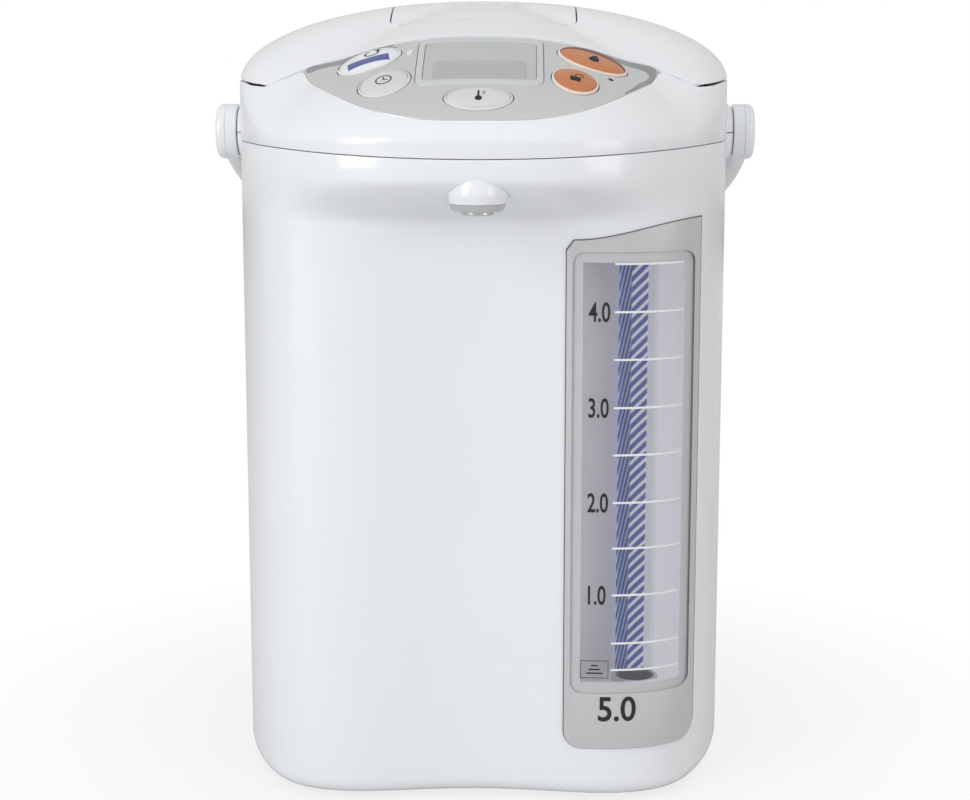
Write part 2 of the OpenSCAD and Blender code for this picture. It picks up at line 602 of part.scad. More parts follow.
// The trim's outline from the front: round corners, and a top edge that rises in an S-curve.
module trim_shape() {
    r = 7;
    polygon([
        for (a = [180 : 15 : 270]) [trim_left + r + r * cos(a), trim_low_z + r + r * sin(a)],
        for (a = [270 : 15 : 360]) [trim_right - r + r * cos(a), trim_low_z + r + r * sin(a)],
        for (k = [0 : 12]) let (u = 1 - k / 12) [trim_left + 3 + (trim_right - trim_left - 3) * u,
            trim_high_z + trim_rise * smooth(u)],
        [trim_left, trim_high_z - 4]]);
}
module gauge_trim() color("lightgray") difference() {
    intersection() {
        translate([0, 0, trim_low_z]) linear_extrude(trim_high_z + trim_rise - trim_low_z + 1)
            polygon(strip(gauge_t0 - 4, gauge_t1 + 8, -sheet_gap, -1.2));
        front_prism() trim_shape();
    }
    front_prism() window_shape(2.8);
}

// ---------- spout ----------

spout_low_z = 248.4;
// The domed bulge under the beak that hides the spout.
module spout_bulge(grow, low_z) translate([0, -spout_y, 0]) rotate_extrude($fn = curve_fn) polygon([
    [0, low_z], [spout_w / 2 - 0.8 + grow, low_z], [spout_w / 2 - 0.8 + grow, spout_low_z],
    for (a = [0 : 15 : 90]) [spout_w / 2 - 6 + grow + 6 * cos(a), spout_low_z + 3.2 + (9 + grow) * sin(a)],
    [0, spout_low_z + 12.2 + grow]]);
module spout_cover() color(white) difference() {
    union() {
        spout_bulge(0, spout_low_z);
        translate([0, -spout_y, spout_low_z + 5.6]) cylinder(r = spout_w / 2 - 4, h = 9.4, $fn = curve_fn);
    }
    translate([0, -spout_y, 240]) cylinder(r = spout_bore / 2 + 1.6, h = 40, $fn = curve_fn);
}
module spout_nozzle() color("gray") difference() {
    union() {
        translate([0, -spout_y, spout_low_z - 2.8]) cylinder(r1 = 10.1, r2 = 10.8, h = 2.8, $fn = curve_fn);
        translate([0, -spout_y, spout_low_z - 4.4]) cylinder(r = 6.4, h = 2, $fn = curve_fn);
        translate([0, -spout_y, spout_low_z - 1]) cylinder(r = spout_bore / 2 + 1.6, h = 22.5, $fn = curve_fn);
    }
    translate([0, -spout_y, 240]) cylinder(r = spout_bore / 2, h = 40, $fn = curve_fn);
}
spout_path = [[gauge_x, -gauge_y, gauge_high_z - 6], [gauge_x, -gauge_y, gauge_high_z - 1],
    each bezier([gauge_x, -gauge_y, gauge_high_z + 1.5], [gauge_x, -gauge_y, gauge_high_z + 18],
        [20, -spout_y + 9, gauge_high_z + 18], [0, -spout_y, gauge_high_z + 13.5], 15)];
module spout_hose() color("gainsboro") difference() {
    union() {
        tube(spout_path, 4.8);
        translate([0, -spout_y, spout_low_z + 19.6]) cylinder(r = 7, h = 5, $fn = 32);
    }
    translate([0, -spout_y, spout_low_z + 6.6]) cylinder(r = spout_bore / 2 + 1.6, h = 15, $fn = 32);
}

// ---------- power ----------

module power_board() color("seagreen") {
    translate([-86, 6, 16]) cube([62, 44, 1.6]);
    for (x = [-82, -28], y = [10, 46]) translate([x, y, 7]) cylinder(r = 2.5, h = 9, $fn = 24);
    translate([-80, 14, 17.6]) cube([20, 16, 14]);
    translate([-50, 34, 17.6]) cylinder(r = 5, h = 14, $fn = 32);
    translate([-50, 16, 17.6]) cube([14, 10, 8]);
}
module power_socket() color("dimgray") difference() {
    union() {
        translate([0, half_w - 1, socket_z]) rotate([90, 0, 0]) rounded_box(socket_w, socket_h, 16, 3);
        intersection() {
            translate([0, half_w, socket_z]) rotate([90, 0, 0]) rounded_box(socket_w + 6, socket_h + 6, 11, 4);
            cylinder(r = half_w - wall - 0.05, h = 80, $fn = 96);
        }
    }
    translate([0, half_w + 3, socket_z]) rotate([90, 0, 0]) rounded_box(socket_w - 8, socket_h - 8, 13, 2.5);
    for (x = [-1, 1]) translate([x * 9, half_w, socket_z]) rotate([90, 0, 0]) cylinder(r = 1.6, h = 30, $fn = 24);
}
module socket_pins() color("gold") for (x = [-1, 1]) translate([x * 9, half_w - 5, socket_z]) rotate([90, 0, 0])
    cylinder(r = 1.6, h = 18, $fn = 24);

// ---------- control panel ----------

// Each button: centre on the panel, and its half-lengths and turn in plan.
// They keep their share of the panel's depth, as the display does.
depth_share = panel_depth / 65;
function down_panel(d) = -(panel_back + d * depth_share);
reboil_at = [-45, down_panel(14)];
timer_at = [-37.4, down_panel(38)];
temp_at = [0, down_panel(53.6)];
dispense_at = [45, down_panel(14)];
unlock_at = [37.5, down_panel(37)];
reboil_size = [12.9, 11.2 * depth_share, 12];
timer_size = [10.4, 10 * depth_share, 6];
temp_size = [13.4, 7.1 * depth_share, 0];
dispense_size = [14.1, 11.2 * depth_share, -12];
unlock_size = [9.2, 9.4 * depth_share, -6];
button_spots = [reboil_at, timer_at, temp_at, dispense_at, unlock_at];
button_sizes = [reboil_size, timer_size, temp_size, dispense_size, unlock_size];
lcd_back = panel_back + 1;
lcd_front = -down_panel(45);

// A button's outline in its own tilted plane, so that it is an ellipse seen from above.
function key_rim(i, grow, n) = let (q = button_spots[i], b = button_sizes[i], up = slope_normal(q.x, q.y),
        g = [up.x, up.y] / norm([up.x, up.y]))
    [for (e = ellipse_rim([0, 0], b[0] + grow, b[1] + grow, b[2], n)) e + g * (g * e) * (1 / up.z - 1)];
module button_hole(i, grow, depth) on_panel(button_spots[i].x, button_spots[i].y, -depth) linear_extrude(depth + 8)
    polygon(key_rim(i, grow, 28));
key_depth = panel_t + 0.2;        // underside of the keys below the dome

panel_rim = eye_rim(0.5);
module control_panel() color("silver") difference() {
    dome_plate([0, down_panel(31)], panel_rim, len(panel_rim), 0, panel_t, 0, 5);
    for (i = [0 : 4]) button_hole(i, button_gap, 8);
    translate([0, 0, deck_z]) linear_extrude(60) polygon(box_rim(lcd_mid, lcd_w, lcd_front - lcd_back, 5));
}
lcd_mid = [0, -(lcd_back + lcd_front) / 2];
lcd_side = 5.8;                   // both side borders of the bezel together
lcd_ends = 12;                    // its two end borders together
module lcd_frame() color("lightgray") difference() {
    dome_plate(lcd_mid, box_rim(lcd_mid, lcd_w - 0.4, lcd_front - lcd_back - 0.4, 5), 28, 0.5, panel_t + 0.5, 0, 3);
    translate([0, -1, deck_z]) linear_extrude(60) polygon(box_rim(lcd_mid, lcd_w - lcd_side, lcd_front - lcd_back - lcd_ends, 2));
}
module lcd_window() color("gray")
    dome_plate(lcd_mid - [0, 1], box_rim(lcd_mid - [0, 1], lcd_w - lcd_side - 0.2, lcd_front - lcd_back - lcd_ends - 0.2, 2), 28, 0.1, 1.2, 0, 3);

// The board hangs below the panel on the mean slope of the dome, clear of the keys.
board_drop = 12.1;
board_y = down_panel(30);
board_z = height(0, board_y) - board_drop;
board_tilt = atan((height(0, down_panel(10)) - height(0, down_panel(50))) / (40 * depth_share)) - 4;
board_t = 1.6;
board_edge = [[22, down_panel(6)], [22, down_panel(2.12)], [50, down_panel(2.12)], [52, down_panel(32)],
    [42, down_panel(42)], [14, down_panel(44)], [14, down_panel(55.5)]];
module on_board(z) translate([0, board_y, board_z]) rotate([board_tilt, 0, 0]) translate([0, 0, z]) children();
function to_board(x, y) = [x, (y - board_y) / cos(board_tilt)];
module lcd_module() color("darkgray") on_board(board_t) translate([-21, -13 * depth_share, 0])
    cube([42, 30 * depth_share, 5]);
module control_board() color("seagreen") on_board(0) linear_extrude(board_t)
    polygon([each [for (q = board_edge) to_board(q.x, q.y)],
        each [for (k = [len(board_edge) - 1 : -1 : 0]) to_board(-board_edge[k].x, board_edge[k].y)]]);
module button_switches() color("black") for (i = [0 : 4]) {
    q = button_spots[i];
    on_board(board_t) translate([each to_board(q.x, max(q.y, down_panel(51))), 0]) {
        translate([-3, -3, 0]) cube([6, 6, 1.8]);
        translate([0, 0, 1.8]) cylinder(r = 1.6, h = 0.6, $fn = 24);
    }
}

// A point moved along a direction until it lies on the dome.
function onto_dome(p, way, k = 4) = k == 0 ? p : onto_dome(p + way * (height(p.x, p.y) - p.z) * way.z, way, k - 1);
// A key whose sides run along its travel and whose top follows the dome, raised by bulge in the middle.
module button(i, proud, bulge, n = 24) {
    q = button_spots[i];
    b = button_sizes[i];
    up = slope_normal(q.x, q.y);
    spot = [q.x, q.y, height(q.x, q.y)];
    function lift(e, rise) = onto_dome(spot + [e.x, e.y, -(up.x * e.x + up.y * e.y) / up.z], up) + rise * up;
    disc_solid([for (e = ellipse_rim([0, 0], b[0], b[1], b[2], n)) [
            for (j = [0.5, 1]) lift(e * j, -key_depth),
            for (j = [1, 0.5]) lift(e * j, proud + bulge * (1 - pow(j, 4)))]],
        lift([0, 0], -key_depth), lift([0, 0], proud + bulge));
}
module reboil_button() color(white) button(0, 0.8, 1.2);
module timer_button() color("lightgray") button(1, 0.4, 0.6);
module temp_button() color("lightgray") button(2, 0.4, 0.6);
module dispense_button() color("peru") button(3, 0.8, 1.2);
module unlock_button() color("peru") button(4, 0.8, 0.8);

// ---------- handle ----------

boss_in = half_w - 7;             // inner end of the bosses
module pivot_cone(x0, x1, r0, r1) for (side = [-1, 1]) translate([side * x0, 0, pivot_z]) rotate([0, side * 90, 0])
    cylinder(r1 = r0, r2 = r1, h = x1 - x0, $fn = curve_fn);
module pivot_bosses() color(white) difference() {
    union() {
        pivot_axis(boss_in, half_w + 1, boss_r);
        pivot_cone(half_w + 1, half_w + boss_out, boss_r, boss_r - 2.2);
        difference() {
            pivot_axis(boss_in, half_w - wall - 1.5, boss_r + 3);
            translate([-half_w, -20, deck_z - deck_t - 0.4]) cube([2 * half_w, 40, 40]);
        }
    }
    pivot_axis(boss_in - 8, half_w + 15, pivot_r + run_gap);
    translate([-half_w + 3.6, -20, liner_low_z - 0.6]) cube([2 * half_w - 7.2, 40, 20]);
    difference() {
        for (side = [-1, 1]) translate([side * (half_w + boss_out + 0.3) - boss_out, -20, pivot_z - 0.2]) cube([2 * boss_out, 40, 0.4]);
        pivot_axis(boss_in, 2 * half_w, boss_r - 3.4);
    }
}
lobe_in = half_w + boss_out + 0.3;
bail_half = lobe_in + arm_t + 0.3;
lobe_r = 12;
cap_in = bail_half - 4.4;
bail_power = 2.6;
// Centre line of the bail in its own plane, from one pivot round to the other.
function bail_point(u) = [(bail_half - arm_t / 2 - 0.3) * signed_pow(sin(u), 2 / bail_power),
    (bail_reach - 8) * pow(cos(u), 2 / bail_power), 0];
function bail_section(u) = let (g = smooth((60 - abs(u)) / 35), w = 15 + 3 * g, d = arm_t + 7 * g, h = 1,
        d0 = unit(bail_point(min(89.9, u + h)) - bail_point(max(-89.9, u - h))), side = cross([0, 0, 1], d0))
    [for (k = [0 : 13]) let (a = k * 360 / 14)
        bail_point(u) + side * d / 2 * signed_pow(cos(a), 0.7) + [0, 0, 1] * w / 2 * signed_pow(sin(a), 0.7)];
module at_rest_slope() translate([0, 0, pivot_z]) rotate([-bail_slope, 0, 0]) children();
module handle() color(white) {
    difference() {
        at_rest_slope() swept([for (u = [-89.5, each [for (k = [-17 : 17]) k * 5], 89.5]) bail_section(u)]);
        pivot_axis(cap_in - 0.05, bail_half + 2, lobe_r + 0.25);
    }
    pivot_axis(lobe_in, cap_in - 0.05, lobe_r);
    pivot_axis(half_w - 5, lobe_in + 1, pivot_r);
}
// Round end caps over the outer ends of the bail, with rounded faces.
module handle_caps() color(white) for (side = [-1, 1]) translate([side * cap_in, 0, pivot_z]) rotate([0, side * 90, 0])
    rotate_extrude($fn = 64) polygon([[0, 0], [lobe_r, 0],
        for (a = [0 : 15 : 90]) [lobe_r - 2.6 + 2.6 * cos(a), bail_half - cap_in - 2.6 + 2.6 * sin(a)], [0, bail_half - cap_in]]);

// ---------- lid ----------

function lid_edge_s(t) = let (f = 1 - smooth((from_front(t) - 52) / 12)) min(front_s(t) - 0.006 * f, level_s(lid_level(t) + lid_gap, t));
function front_drop(t) = 4 * (1 - smooth((from_front(t) - 50) / 14));
function lid_angle(t) = let (m = dome_m(t), z0 = dome_z0(t), z = dome_z(lid_edge_s(t), t))
    asin(pow((z - z0) / (dome_top - z0), m / 2));
lid_rows = [0, 0.1, 0.22, 0.36, 0.52, 0.68, 0.84];
function lid_point(t, f, down) = let (a = lid_angle(t), g = a + (90 - a) * f, m = dome_m(t), s = pow(cos(g), 2 / m))
    [each ray(max(0.01, s - down / reach(t)), t), dome_z(s, t) - down];
module lid_shell() {
    disc_solid([for (t = turns) let (s = lid_edge_s(t), z = dome_z(s, t) - 0.3 - front_drop(t)) [
            for (k = [6 : -1 : 0]) lid_point(t, lid_rows[k], lid_wall),
            [each ray(s - lid_wall / reach(t), t), z],
            [each ray(s, t), z],
            for (f = lid_rows) lid_point(t, f, 0)]],
        [0, eye_y, dome_top - lid_wall], [0, eye_y, dome_top]);
}
vent_y = 68;
// Prism over the lever's outline, grown all round, from a height up.
module lever_prism(grow, r, z0, h) translate([0, (lever_back - lever_front) / 2, z0])
    rounded_box(lever_w + 2 * grow, lever_back + lever_front + 2 * grow, h, r);
module lid_cover() color(white) difference() {
    union() {
        difference() {
            lid_shell();
            hinge_axis(hinge_half, hinge_half + ear_w + 0.8, 5);
        }
        hinge_axis(0, hinge_half, 4.2);
        translate([-hinge_half, half_w - 1.6, hinge_z - 1]) cube([2 * hinge_half, hinge_y - half_w + 1, 4]);
    }
    hinge_axis(0, 60, hinge_r + run_gap);
    difference() {
        lever_prism(0, 6, crown_z, 60);
        translate([-tongue_half, lever_pin_y, lever_pin_z - 2]) cube([2 * tongue_half, 8, 3.2]);
        lever_axis(0, tongue_half, lever_roll);
    }
    lever_axis(0, tongue_half + 1, lever_pin_r);
    translate([0, vent_y, crown_z]) cylinder(r = vent_r + 0.1, h = 60, $fn = 48);
}

liner_low_z = deck_z + 6;
function liner_s(t) = min(lid_edge_s(t) - (lid_wall + 0.4) / reach(t), 0.955);
module lid_liner() color("lightgray") difference() {
    union() {
        disc_solid([for (t = turns) let (s = liner_s(t), w = s - 2 / reach(t), z = dome_z(s + lid_wall / reach(t), t) - lid_wall - 0.4) [
                    [each ray(s, t), liner_low_z],
                    [each ray(s, t), z],
                    [each ray(w, t), z],
                    [each ray(w, t), liner_low_z + 2]]],
            [0, eye_y, liner_low_z], [0, eye_y, liner_low_z + 2]);
        for (side = [-1, 1]) translate([side * 13.4 - 3.1, -lid_front + 6, liner_low_z + 1]) cube([6.2, 26, latch_z + 2.6 - liner_low_z - 1]);
    }
    translate([-14.3, -lid_front, latch_z - 0.3]) cube([28.6, 50, 5]);
    translate([0, vent_y - 20, liner_low_z - 1]) cylinder(r = 7.1, h = 5, $fn = 48);
}
inner_lid_t = 1.6;
module inner_lid() color("silver") translate([0, tank_y, 0]) {
    translate([0, 0, deck_z - 2]) cylinder(r = mouth_r - 5, h = inner_lid_t, $fn = 96);
    translate([0, 0, deck_z - 2 + inner_lid_t]) ring(mouth_r - 5, mouth_r - 7, liner_low_z - deck_z + 2 - inner_lid_t);
}
module lid_gasket() color("gray") translate([0, tank_y, rim_z + 0.3])
    ring(mouth_r + 6, mouth_r - 4.9, liner_low_z - rim_z - 0.3);
vent_r = 9;
vent_low_z = dome_top - 20;       // where the vent's grille stands on the steam duct
duct_h = 10;
duct_y = vent_y - 20;
module steam_duct() color("lightgray") difference() {
    duct_low_z = deck_z - 2 + inner_lid_t;
    union() {
        translate([0, duct_y, duct_low_z]) cylinder(r = 7, h = vent_low_z - duct_low_z - 2, $fn = 48);
        translate([-8, duct_y - 6, vent_low_z - duct_h]) cube([16, 34, duct_h]);
    }
    translate([0, duct_y, duct_low_z - 1]) cylinder(r = 5, h = vent_low_z - duct_low_z - 3, $fn = 48);
    translate([-6, duct_y - 4, vent_low_z - duct_h + 2]) cube([12, 30, duct_h - 4]);
    translate([0, vent_y, vent_low_z - duct_h + 3]) cylinder(r = 6, h = duct_h * 2, $fn = 48);
}
module steam_vent() color("gainsboro") difference() {
    union() {
        translate([0, vent_y, vent_low_z]) cylinder(r = vent_r, h = 14, $fn = 48);
        translate([0, vent_y, vent_low_z]) cylinder(r = vent_r + 2, h = 1, $fn = 48);
    }
    translate([0, vent_y, vent_low_z - 1]) cylinder(r = vent_r - 2.5, h = 11, $fn = 48);
    for (x = [-4, 0, 4]) translate([x - 0.9, vent_y - 5, vent_low_z]) cube([1.8, 10, 20]);
}
lever_roll = 2.1;
lever_pin_r = 1;
lever_pin_y = lever_back - lever_roll - 0.5;
lever_pin_z = dome_top - 3.4;
tongue_half = 4.6;
roll_half = 16;
module lever_axis(x0, x1, r) for (side = [-1, 1]) translate([side * x0, lever_pin_y, lever_pin_z]) rotate([0, side * 90, 0])
    cylinder(r = r, h = x1 - x0, $fn = 32);
well_low_z = latch_z + 3.4;
module lever_well() color(white) difference() {
    lever_prism(4, 6, well_low_z, dome_top - 5 - well_low_z);
    lever_prism(2, 4, well_low_z + 2, 60);
    lid_top_cut();
    translate([-9, -lever_front - 5, well_low_z - 1]) cube([18, 13, 7]);
    translate([-tongue_half - 0.5, lever_back, lever_pin_z - 2.5]) cube([2 * tongue_half + 1, 8, 10]);
}
// Everything above the underside of the lid's cover, to trim what sits beneath it.
module lid_top_cut() difference() {
    under = lid_wall + 0.3;
    translate([-half_w - 5, -lid_front - 10, crown_z + 10]) cube([2 * half_w + 10, lid_front + half_w + 20, 60]);
    disc_solid([for (t = [0 : 15 : 345]) [[each ray(0.96, t), crown_z], [each ray(0.96, t), dome_z(0.98, t) - under],
        for (f = [0.12, 0.24, 0.36, 0.52, 0.68, 0.84]) let (s = pow(cos(90 * f), 2 / dome_m(t)))
            [each ray(s - under / reach(t), t), dome_z(s, t) - under]]],
        [0, eye_y, crown_z], [0, eye_y, dome_top - under]);
}
module lever_pin() color("silver") lever_axis(0, roll_half, lever_pin_r);
lever_mid = [0, (lever_back - lever_front) / 2];
lever_sweep = lever_front + lever_pin_y - 0.35;  // so the front edge clears the lid as it lifts
lever_rim = box_rim(lever_mid, lever_w - 1, lever_back + lever_front - 1, 5.5);
module lid_lever() color(white) difference() {
    union() {
        intersection() {
            dome_plate(lever_mid, lever_rim, len(lever_rim), 0, lid_wall, 0, 5);
            union() {
                translate([-60, lever_pin_y - 60, crown_z + 10]) cube([120, 60, 60]);
                translate([-60, lever_pin_y, lever_pin_z]) rotate([0, 90, 0]) cylinder(r = lever_roll, h = 120, $fn = 32);
            }
            translate([-60, lever_pin_y, lever_pin_z]) rotate([0, 90, 0]) cylinder(r = lever_sweep, h = 120, $fn = 96);
        }
        lever_axis(tongue_half + 0.4, roll_half + 0.6, lever_roll);
    }
    lever_axis(0, roll_half + 0.1, lever_pin_r + run_gap);
    translate([-tongue_half - 0.4, lever_pin_y - 2.6, crown_z + 30]) cube([2 * tongue_half + 0.8, 10, 30]);
}
latch_half = 14;
latch_l = 32;
module lid_latch() color("gainsboro") {
    translate([-latch_half, -lid_front - 0.1, latch_z]) cube([2 * latch_half, latch_l, 2.6]);
    translate([-8, latch_l - lid_front - 4, latch_z]) cube([16, 6, 8]);
}
module latch_strike() color("silver") difference() {
    translate([-latch_half - 6, -lid_front - 4.8, latch_z - 6.6]) cube([2 * latch_half + 12, 1.6, 14]);
    latch_slot(-lid_front - 8);
}
hinge_half = 18;
ear_w = 9;
module hinge_axis(x0, x1, r) for (side = [-1, 1]) translate([side * x0, hinge_y, hinge_z]) rotate([0, side * 90, 0])
    cylinder(r = r, h = x1 - x0, $fn = 40);
module hinge_bracket() color(white) difference() {
    union() {
        hinge_axis(hinge_half + 0.4, hinge_half + 0.4 + ear_w, 4.2);
        for (side = [-1, 1]) translate([side * (hinge_half + 0.4 + ear_w / 2) - ear_w / 2, 0, 0])
            rotate([90, 0, 90]) linear_extrude(ear_w) polygon([[half_w - 8, seam_z + 7], [half_w + 1, seam_z + 7],
                [hinge_y + 3.6, hinge_z - 6], [hinge_y + 4.1, hinge_z - 0.5], [hinge_y - 4.1, hinge_z - 0.5], [half_w - 8, hinge_z - 5]]);
        translate([-hinge_half - 0.4 - ear_w, half_w - 8, seam_z + 7]) cube([2 * (hinge_half + 0.4 + ear_w), 10, 10]);
    }
    hinge_axis(0, 60, hinge_r);
    cylinder(r = half_w + 0.02, h = 400, $fn = 96);
}
module hinge_pin() color("silver") translate([0, hinge_y, hinge_z]) rotate([0, 90, 0]) cylinder(r = hinge_r, h = 58, center = true, $fn = 32);

swivel_plate();
swivel_feet();
swivel_clip();
outer_body();
shoulder();
bottom_cover();
cover_screws();
tank();
tank_seal();
base_heater();
band_heater();
thermostat();
tank_filter();
suction_sleeve();
pump_housing();
pump_cover();
pump_motor();
motor_bracket();
delivery_hose();
gauge_tube();
gauge_strip();
tube_grommets();
gauge_backing();
gauge_lens();
gauge_trim();
spout_hose();
spout_cover();
spout_nozzle();
power_board();
power_socket();
socket_pins();
control_panel();
lcd_frame();
lcd_window();
lcd_module();
control_board();
button_switches();
pivot_bosses();
hinge_bracket();
hinge_pin();
latch_strike();
lid_cover();
lid_liner();
inner_lid();
lid_gasket();
steam_vent();
steam_duct();
lever_well();
lever_pin();
lid_lever();
lid_latch();
handle();
handle_caps();
reboil_button();
timer_button();
temp_button();
unlock_button();
dispense_button();
impeller();
motor_rotor();
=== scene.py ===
# Electric thermo pot: the finish and the fine forms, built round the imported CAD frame.
# +Z is up and the front is towards -Y, as in the part's own frame. Lengths are millimetres and
# angles degrees. Places inside a material, lamps and the camera's clipping are in metres.
import math

import bmesh
import bpy
import numpy as np
from mathutils import Matrix, Vector


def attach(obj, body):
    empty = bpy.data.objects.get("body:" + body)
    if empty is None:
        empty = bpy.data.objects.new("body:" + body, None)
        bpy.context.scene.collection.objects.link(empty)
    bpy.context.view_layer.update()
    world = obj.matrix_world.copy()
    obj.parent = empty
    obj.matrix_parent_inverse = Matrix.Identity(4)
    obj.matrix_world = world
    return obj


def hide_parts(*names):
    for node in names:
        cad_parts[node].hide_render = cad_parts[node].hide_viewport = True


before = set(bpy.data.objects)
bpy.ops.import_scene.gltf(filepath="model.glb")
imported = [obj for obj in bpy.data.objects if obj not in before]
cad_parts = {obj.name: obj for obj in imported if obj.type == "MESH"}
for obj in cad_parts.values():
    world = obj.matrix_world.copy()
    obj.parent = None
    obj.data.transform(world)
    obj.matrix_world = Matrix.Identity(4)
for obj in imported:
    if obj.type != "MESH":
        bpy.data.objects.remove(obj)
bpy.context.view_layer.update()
MM = 0.001

# ---------- driving sizes ----------
# Housing: half width, reach of the beak, fullness of the plan; the dome's centre and its top.
HALF_W, BEAK, PLAN_POWER = 105.0, 137.0, 2.5
EYE_Y, DOME_TOP = 15.0, 328.0
# Where the dome starts and how round it is, at the beak and at the sides.
BEAK_Z0, SIDE_Z0 = 272.0, 294.0
BEAK_M, SIDE_M = 1.47, 2.0
# Lower front: its reach, the hollow's depth, where the hollow ends, how softly it meets the sides.
FRONT_WALL, FRONT_HOLLOW, RIDGE_X, FRONT_BLEND = 110.0, 4.5, 60.0, 22.0
# The front swells out under the beak between these heights.
HOLLOW_TOP_Z, LIP_Z = 239.0, 258.0
# Underside, rounding of the foot and wall; the foot's rim: thickness, outer inset, inner inset.
BASE_Z, FOOT_R, WALL = 2.5, 7.0, 2.5
RIM_T, RIM_OUT, RIM_IN, SCREW_IN = 2.5, 6.0, 14.0, 10.5
# Seam between housing and shoulder: height, dip in front, gap, rounding of its edges.
SEAM_Z, SEAM_DIP, SEAM_GAP, SEAM_R = 269.0, 3.5, 0.3, 0.35
# Lid: seam height and its drop in front, y of the front edge, gap and wall.
LID_SEAM_Z, LID_SEAM_DROP, LID_FRONT, LID_GAP, LID_WALL = 294.5, 2.3, 65.0, 0.6, 2.4
LATCH_Z, LATCH_HALF = 297.6, 16.0                  # the latch's slot in the shoulder
# Deck under the lid, and the mouth through it. Its sheet starts inside the mouth.
DECK_Z, DECK_T, DECK_IN, MOUTH_R, TANK_Y = 273.0, 3.0, 60.0, 65.5, 6.0
# Control panel: half width, y of its tips and of its nose, thickness, width of the shelf under it.
PANEL_HALF, PANEL_TIP_Y, PANEL_REACH, PANEL_T, PANEL_SHELF = 75.0, 62.0, 131.0, 1.6, 4.0
# Back edge of the panel, gap under it, a key's depth below its rim, its travel.
PANEL_BACK, SHELF_GAP, KEY_DEPTH, KEY_TRAVEL = 66.0, 0.3, 1.8, 1.0
# Display: width and y of its edges, how much narrower, shorter and further in front its window
# is, and the blank field in it.
LCD_W, LCD_BACK, LCD_FRONT, LCD_SIDES, LCD_ENDS, LCD_SHIFT = 50.8, 67.0, 111.0, 5.8, 9.4, 1.4
LCD_MID, LCD_H = np.array([0, -(LCD_BACK + LCD_FRONT) / 2]), LCD_FRONT - LCD_BACK
FIELD_MID, FIELD_W, FIELD_H = (0, -99.5), 37.2, 15.6
# Gauge window and the trim round it: left, bottom, right, top.
WINDOW = (39.6, 50.0, 83.6, 225.4)
TRIM = (34.6, 24.0, 88.8, 232.6)
TRIM_RISE, TRIM_R, TRIM_PROUD, TRIM_LINE = 8.0, 7.0, 1.2, 0.4    # line: the painted shadow line in the gap round it
# Sheets on the front: the gap under them, the lens's rise, how far lens and border pass the
# window outwards, and how far the border and the hole behind it lie inside it.
SHEET_GAP, LENS_PROUD, LENS_LAP, BORDER_LAP, BORDER_IN = 0.12, 1.05, 2.6, 2.9, 1.5
GAUGE_X, GAUGE_Y = 65.0, 80.0                      # the tube's axis, y towards the front
# Level strip: radius, wall, the directions between which it stands, its ends; then its print.
STRIP_R, STRIP_T, STRIP_SPAN, STRIP_Z = 8.75, 0.6, (62, 158), (46.4, 249.6)
STRIPE_PITCH, STRIPE_SLANT = 4.45, 1.0
# Litres and the heights of their lines; the refill line, the full line, the refill mark's box.
SCALE = ((4.0, 204.4), (3.5, 185.3), (3.0, 165.9), (2.5, 146.7),
         (2.0, 127.2), (1.5, 108.4), (1.0, 88.9), (0.5, 68.7))
REFILL_Z, FULL_Z, REFILL_BOX, REFILL_LINE = 57.5, 223.5, (41.2, 54.1, 52.6, 61.3), 0.22
# The lines' ends in x and their thickness; the figures' middle, size and share of full width.
LINE_FROM, LINE_TO, LINE_T = 53.6, 81.5, 0.85
FIGURE_X, FIGURE_SIZE, FIGURE_SQUEEZE = 47.6, 11.0, 0.64
CAPACITY_X, CAPACITY_Z, CAPACITY_SIZE, CAPACITY_SQUEEZE = 56.3, 40.9, 14.4, 0.92
PRINT_PROUD, PRINT_BOLDER = 1.1, 0.014             # of the window's print; stroke growth by size
# Spout: how far in front, its low end, hood, bore, and the tube round the bore.
SPOUT_Y, SPOUT_LOW_Z, SPOUT_R, SPOUT_BORE_R, SPOUT_TUBE_R = 127.0, 248.4, 12.0, 4.0, 5.6
# Pivots: height, boss and pin, inner faces of an arm's round end and of its cap, their radius.
PIVOT_Z, BOSS_R, PIN_R, LOBE_IN, CAP_IN, LOBE_R = 271.0, 13.0, 4.0, 109.3, 114.2, 12.0
BOSS_IN, HOLE_IN, HOLE_OUT = 98, 95, 112           # the boss starts here; span of the holes' cutters
# Bail: half width, reach, slope at rest, fullness; an arm's section, and what the grip has more.
BAIL_HALF, BAIL_REACH, BAIL_SLOPE, BAIL_POWER = 118.6, 150.0, 23.5, 2.6
ARM_H, ARM_T, GRIP_TALLER, GRIP_DEEPER = 15.0, 9.0, 3.0, 7.0
# Lid hinge: its axis, half the knuckle's length, width of the bracket's ears.
HINGE_Y, HINGE_Z, HINGE_HALF, EAR_W = 108.5, 297.0, 18.0, 9.0
# Lid lever: width, y of its edges, gap; its pin's roll and height, half the tongue's width.
LEVER_W, LEVER_FRONT, LEVER_BACK, LEVER_GAP = 80.0, 34.0, 4.0, 0.5
LEVER_ROLL, LEVER_PIN_Z, TONGUE_HALF = 2.1, DOME_TOP - 3.4, 4.6
LEVER_PIN_Y = LEVER_BACK - LEVER_ROLL - 0.5
LEVER_SWEEP = LEVER_FRONT + LEVER_PIN_Y - 0.35     # so the lever's front edge clears the lid
# Steam vent in the lid, and the power inlet in the housing's back.
VENT_Y, VENT_R = 68.0, 9.0
SOCKET_W, SOCKET_H, SOCKET_Z = 46.0, 24.0, 30.0

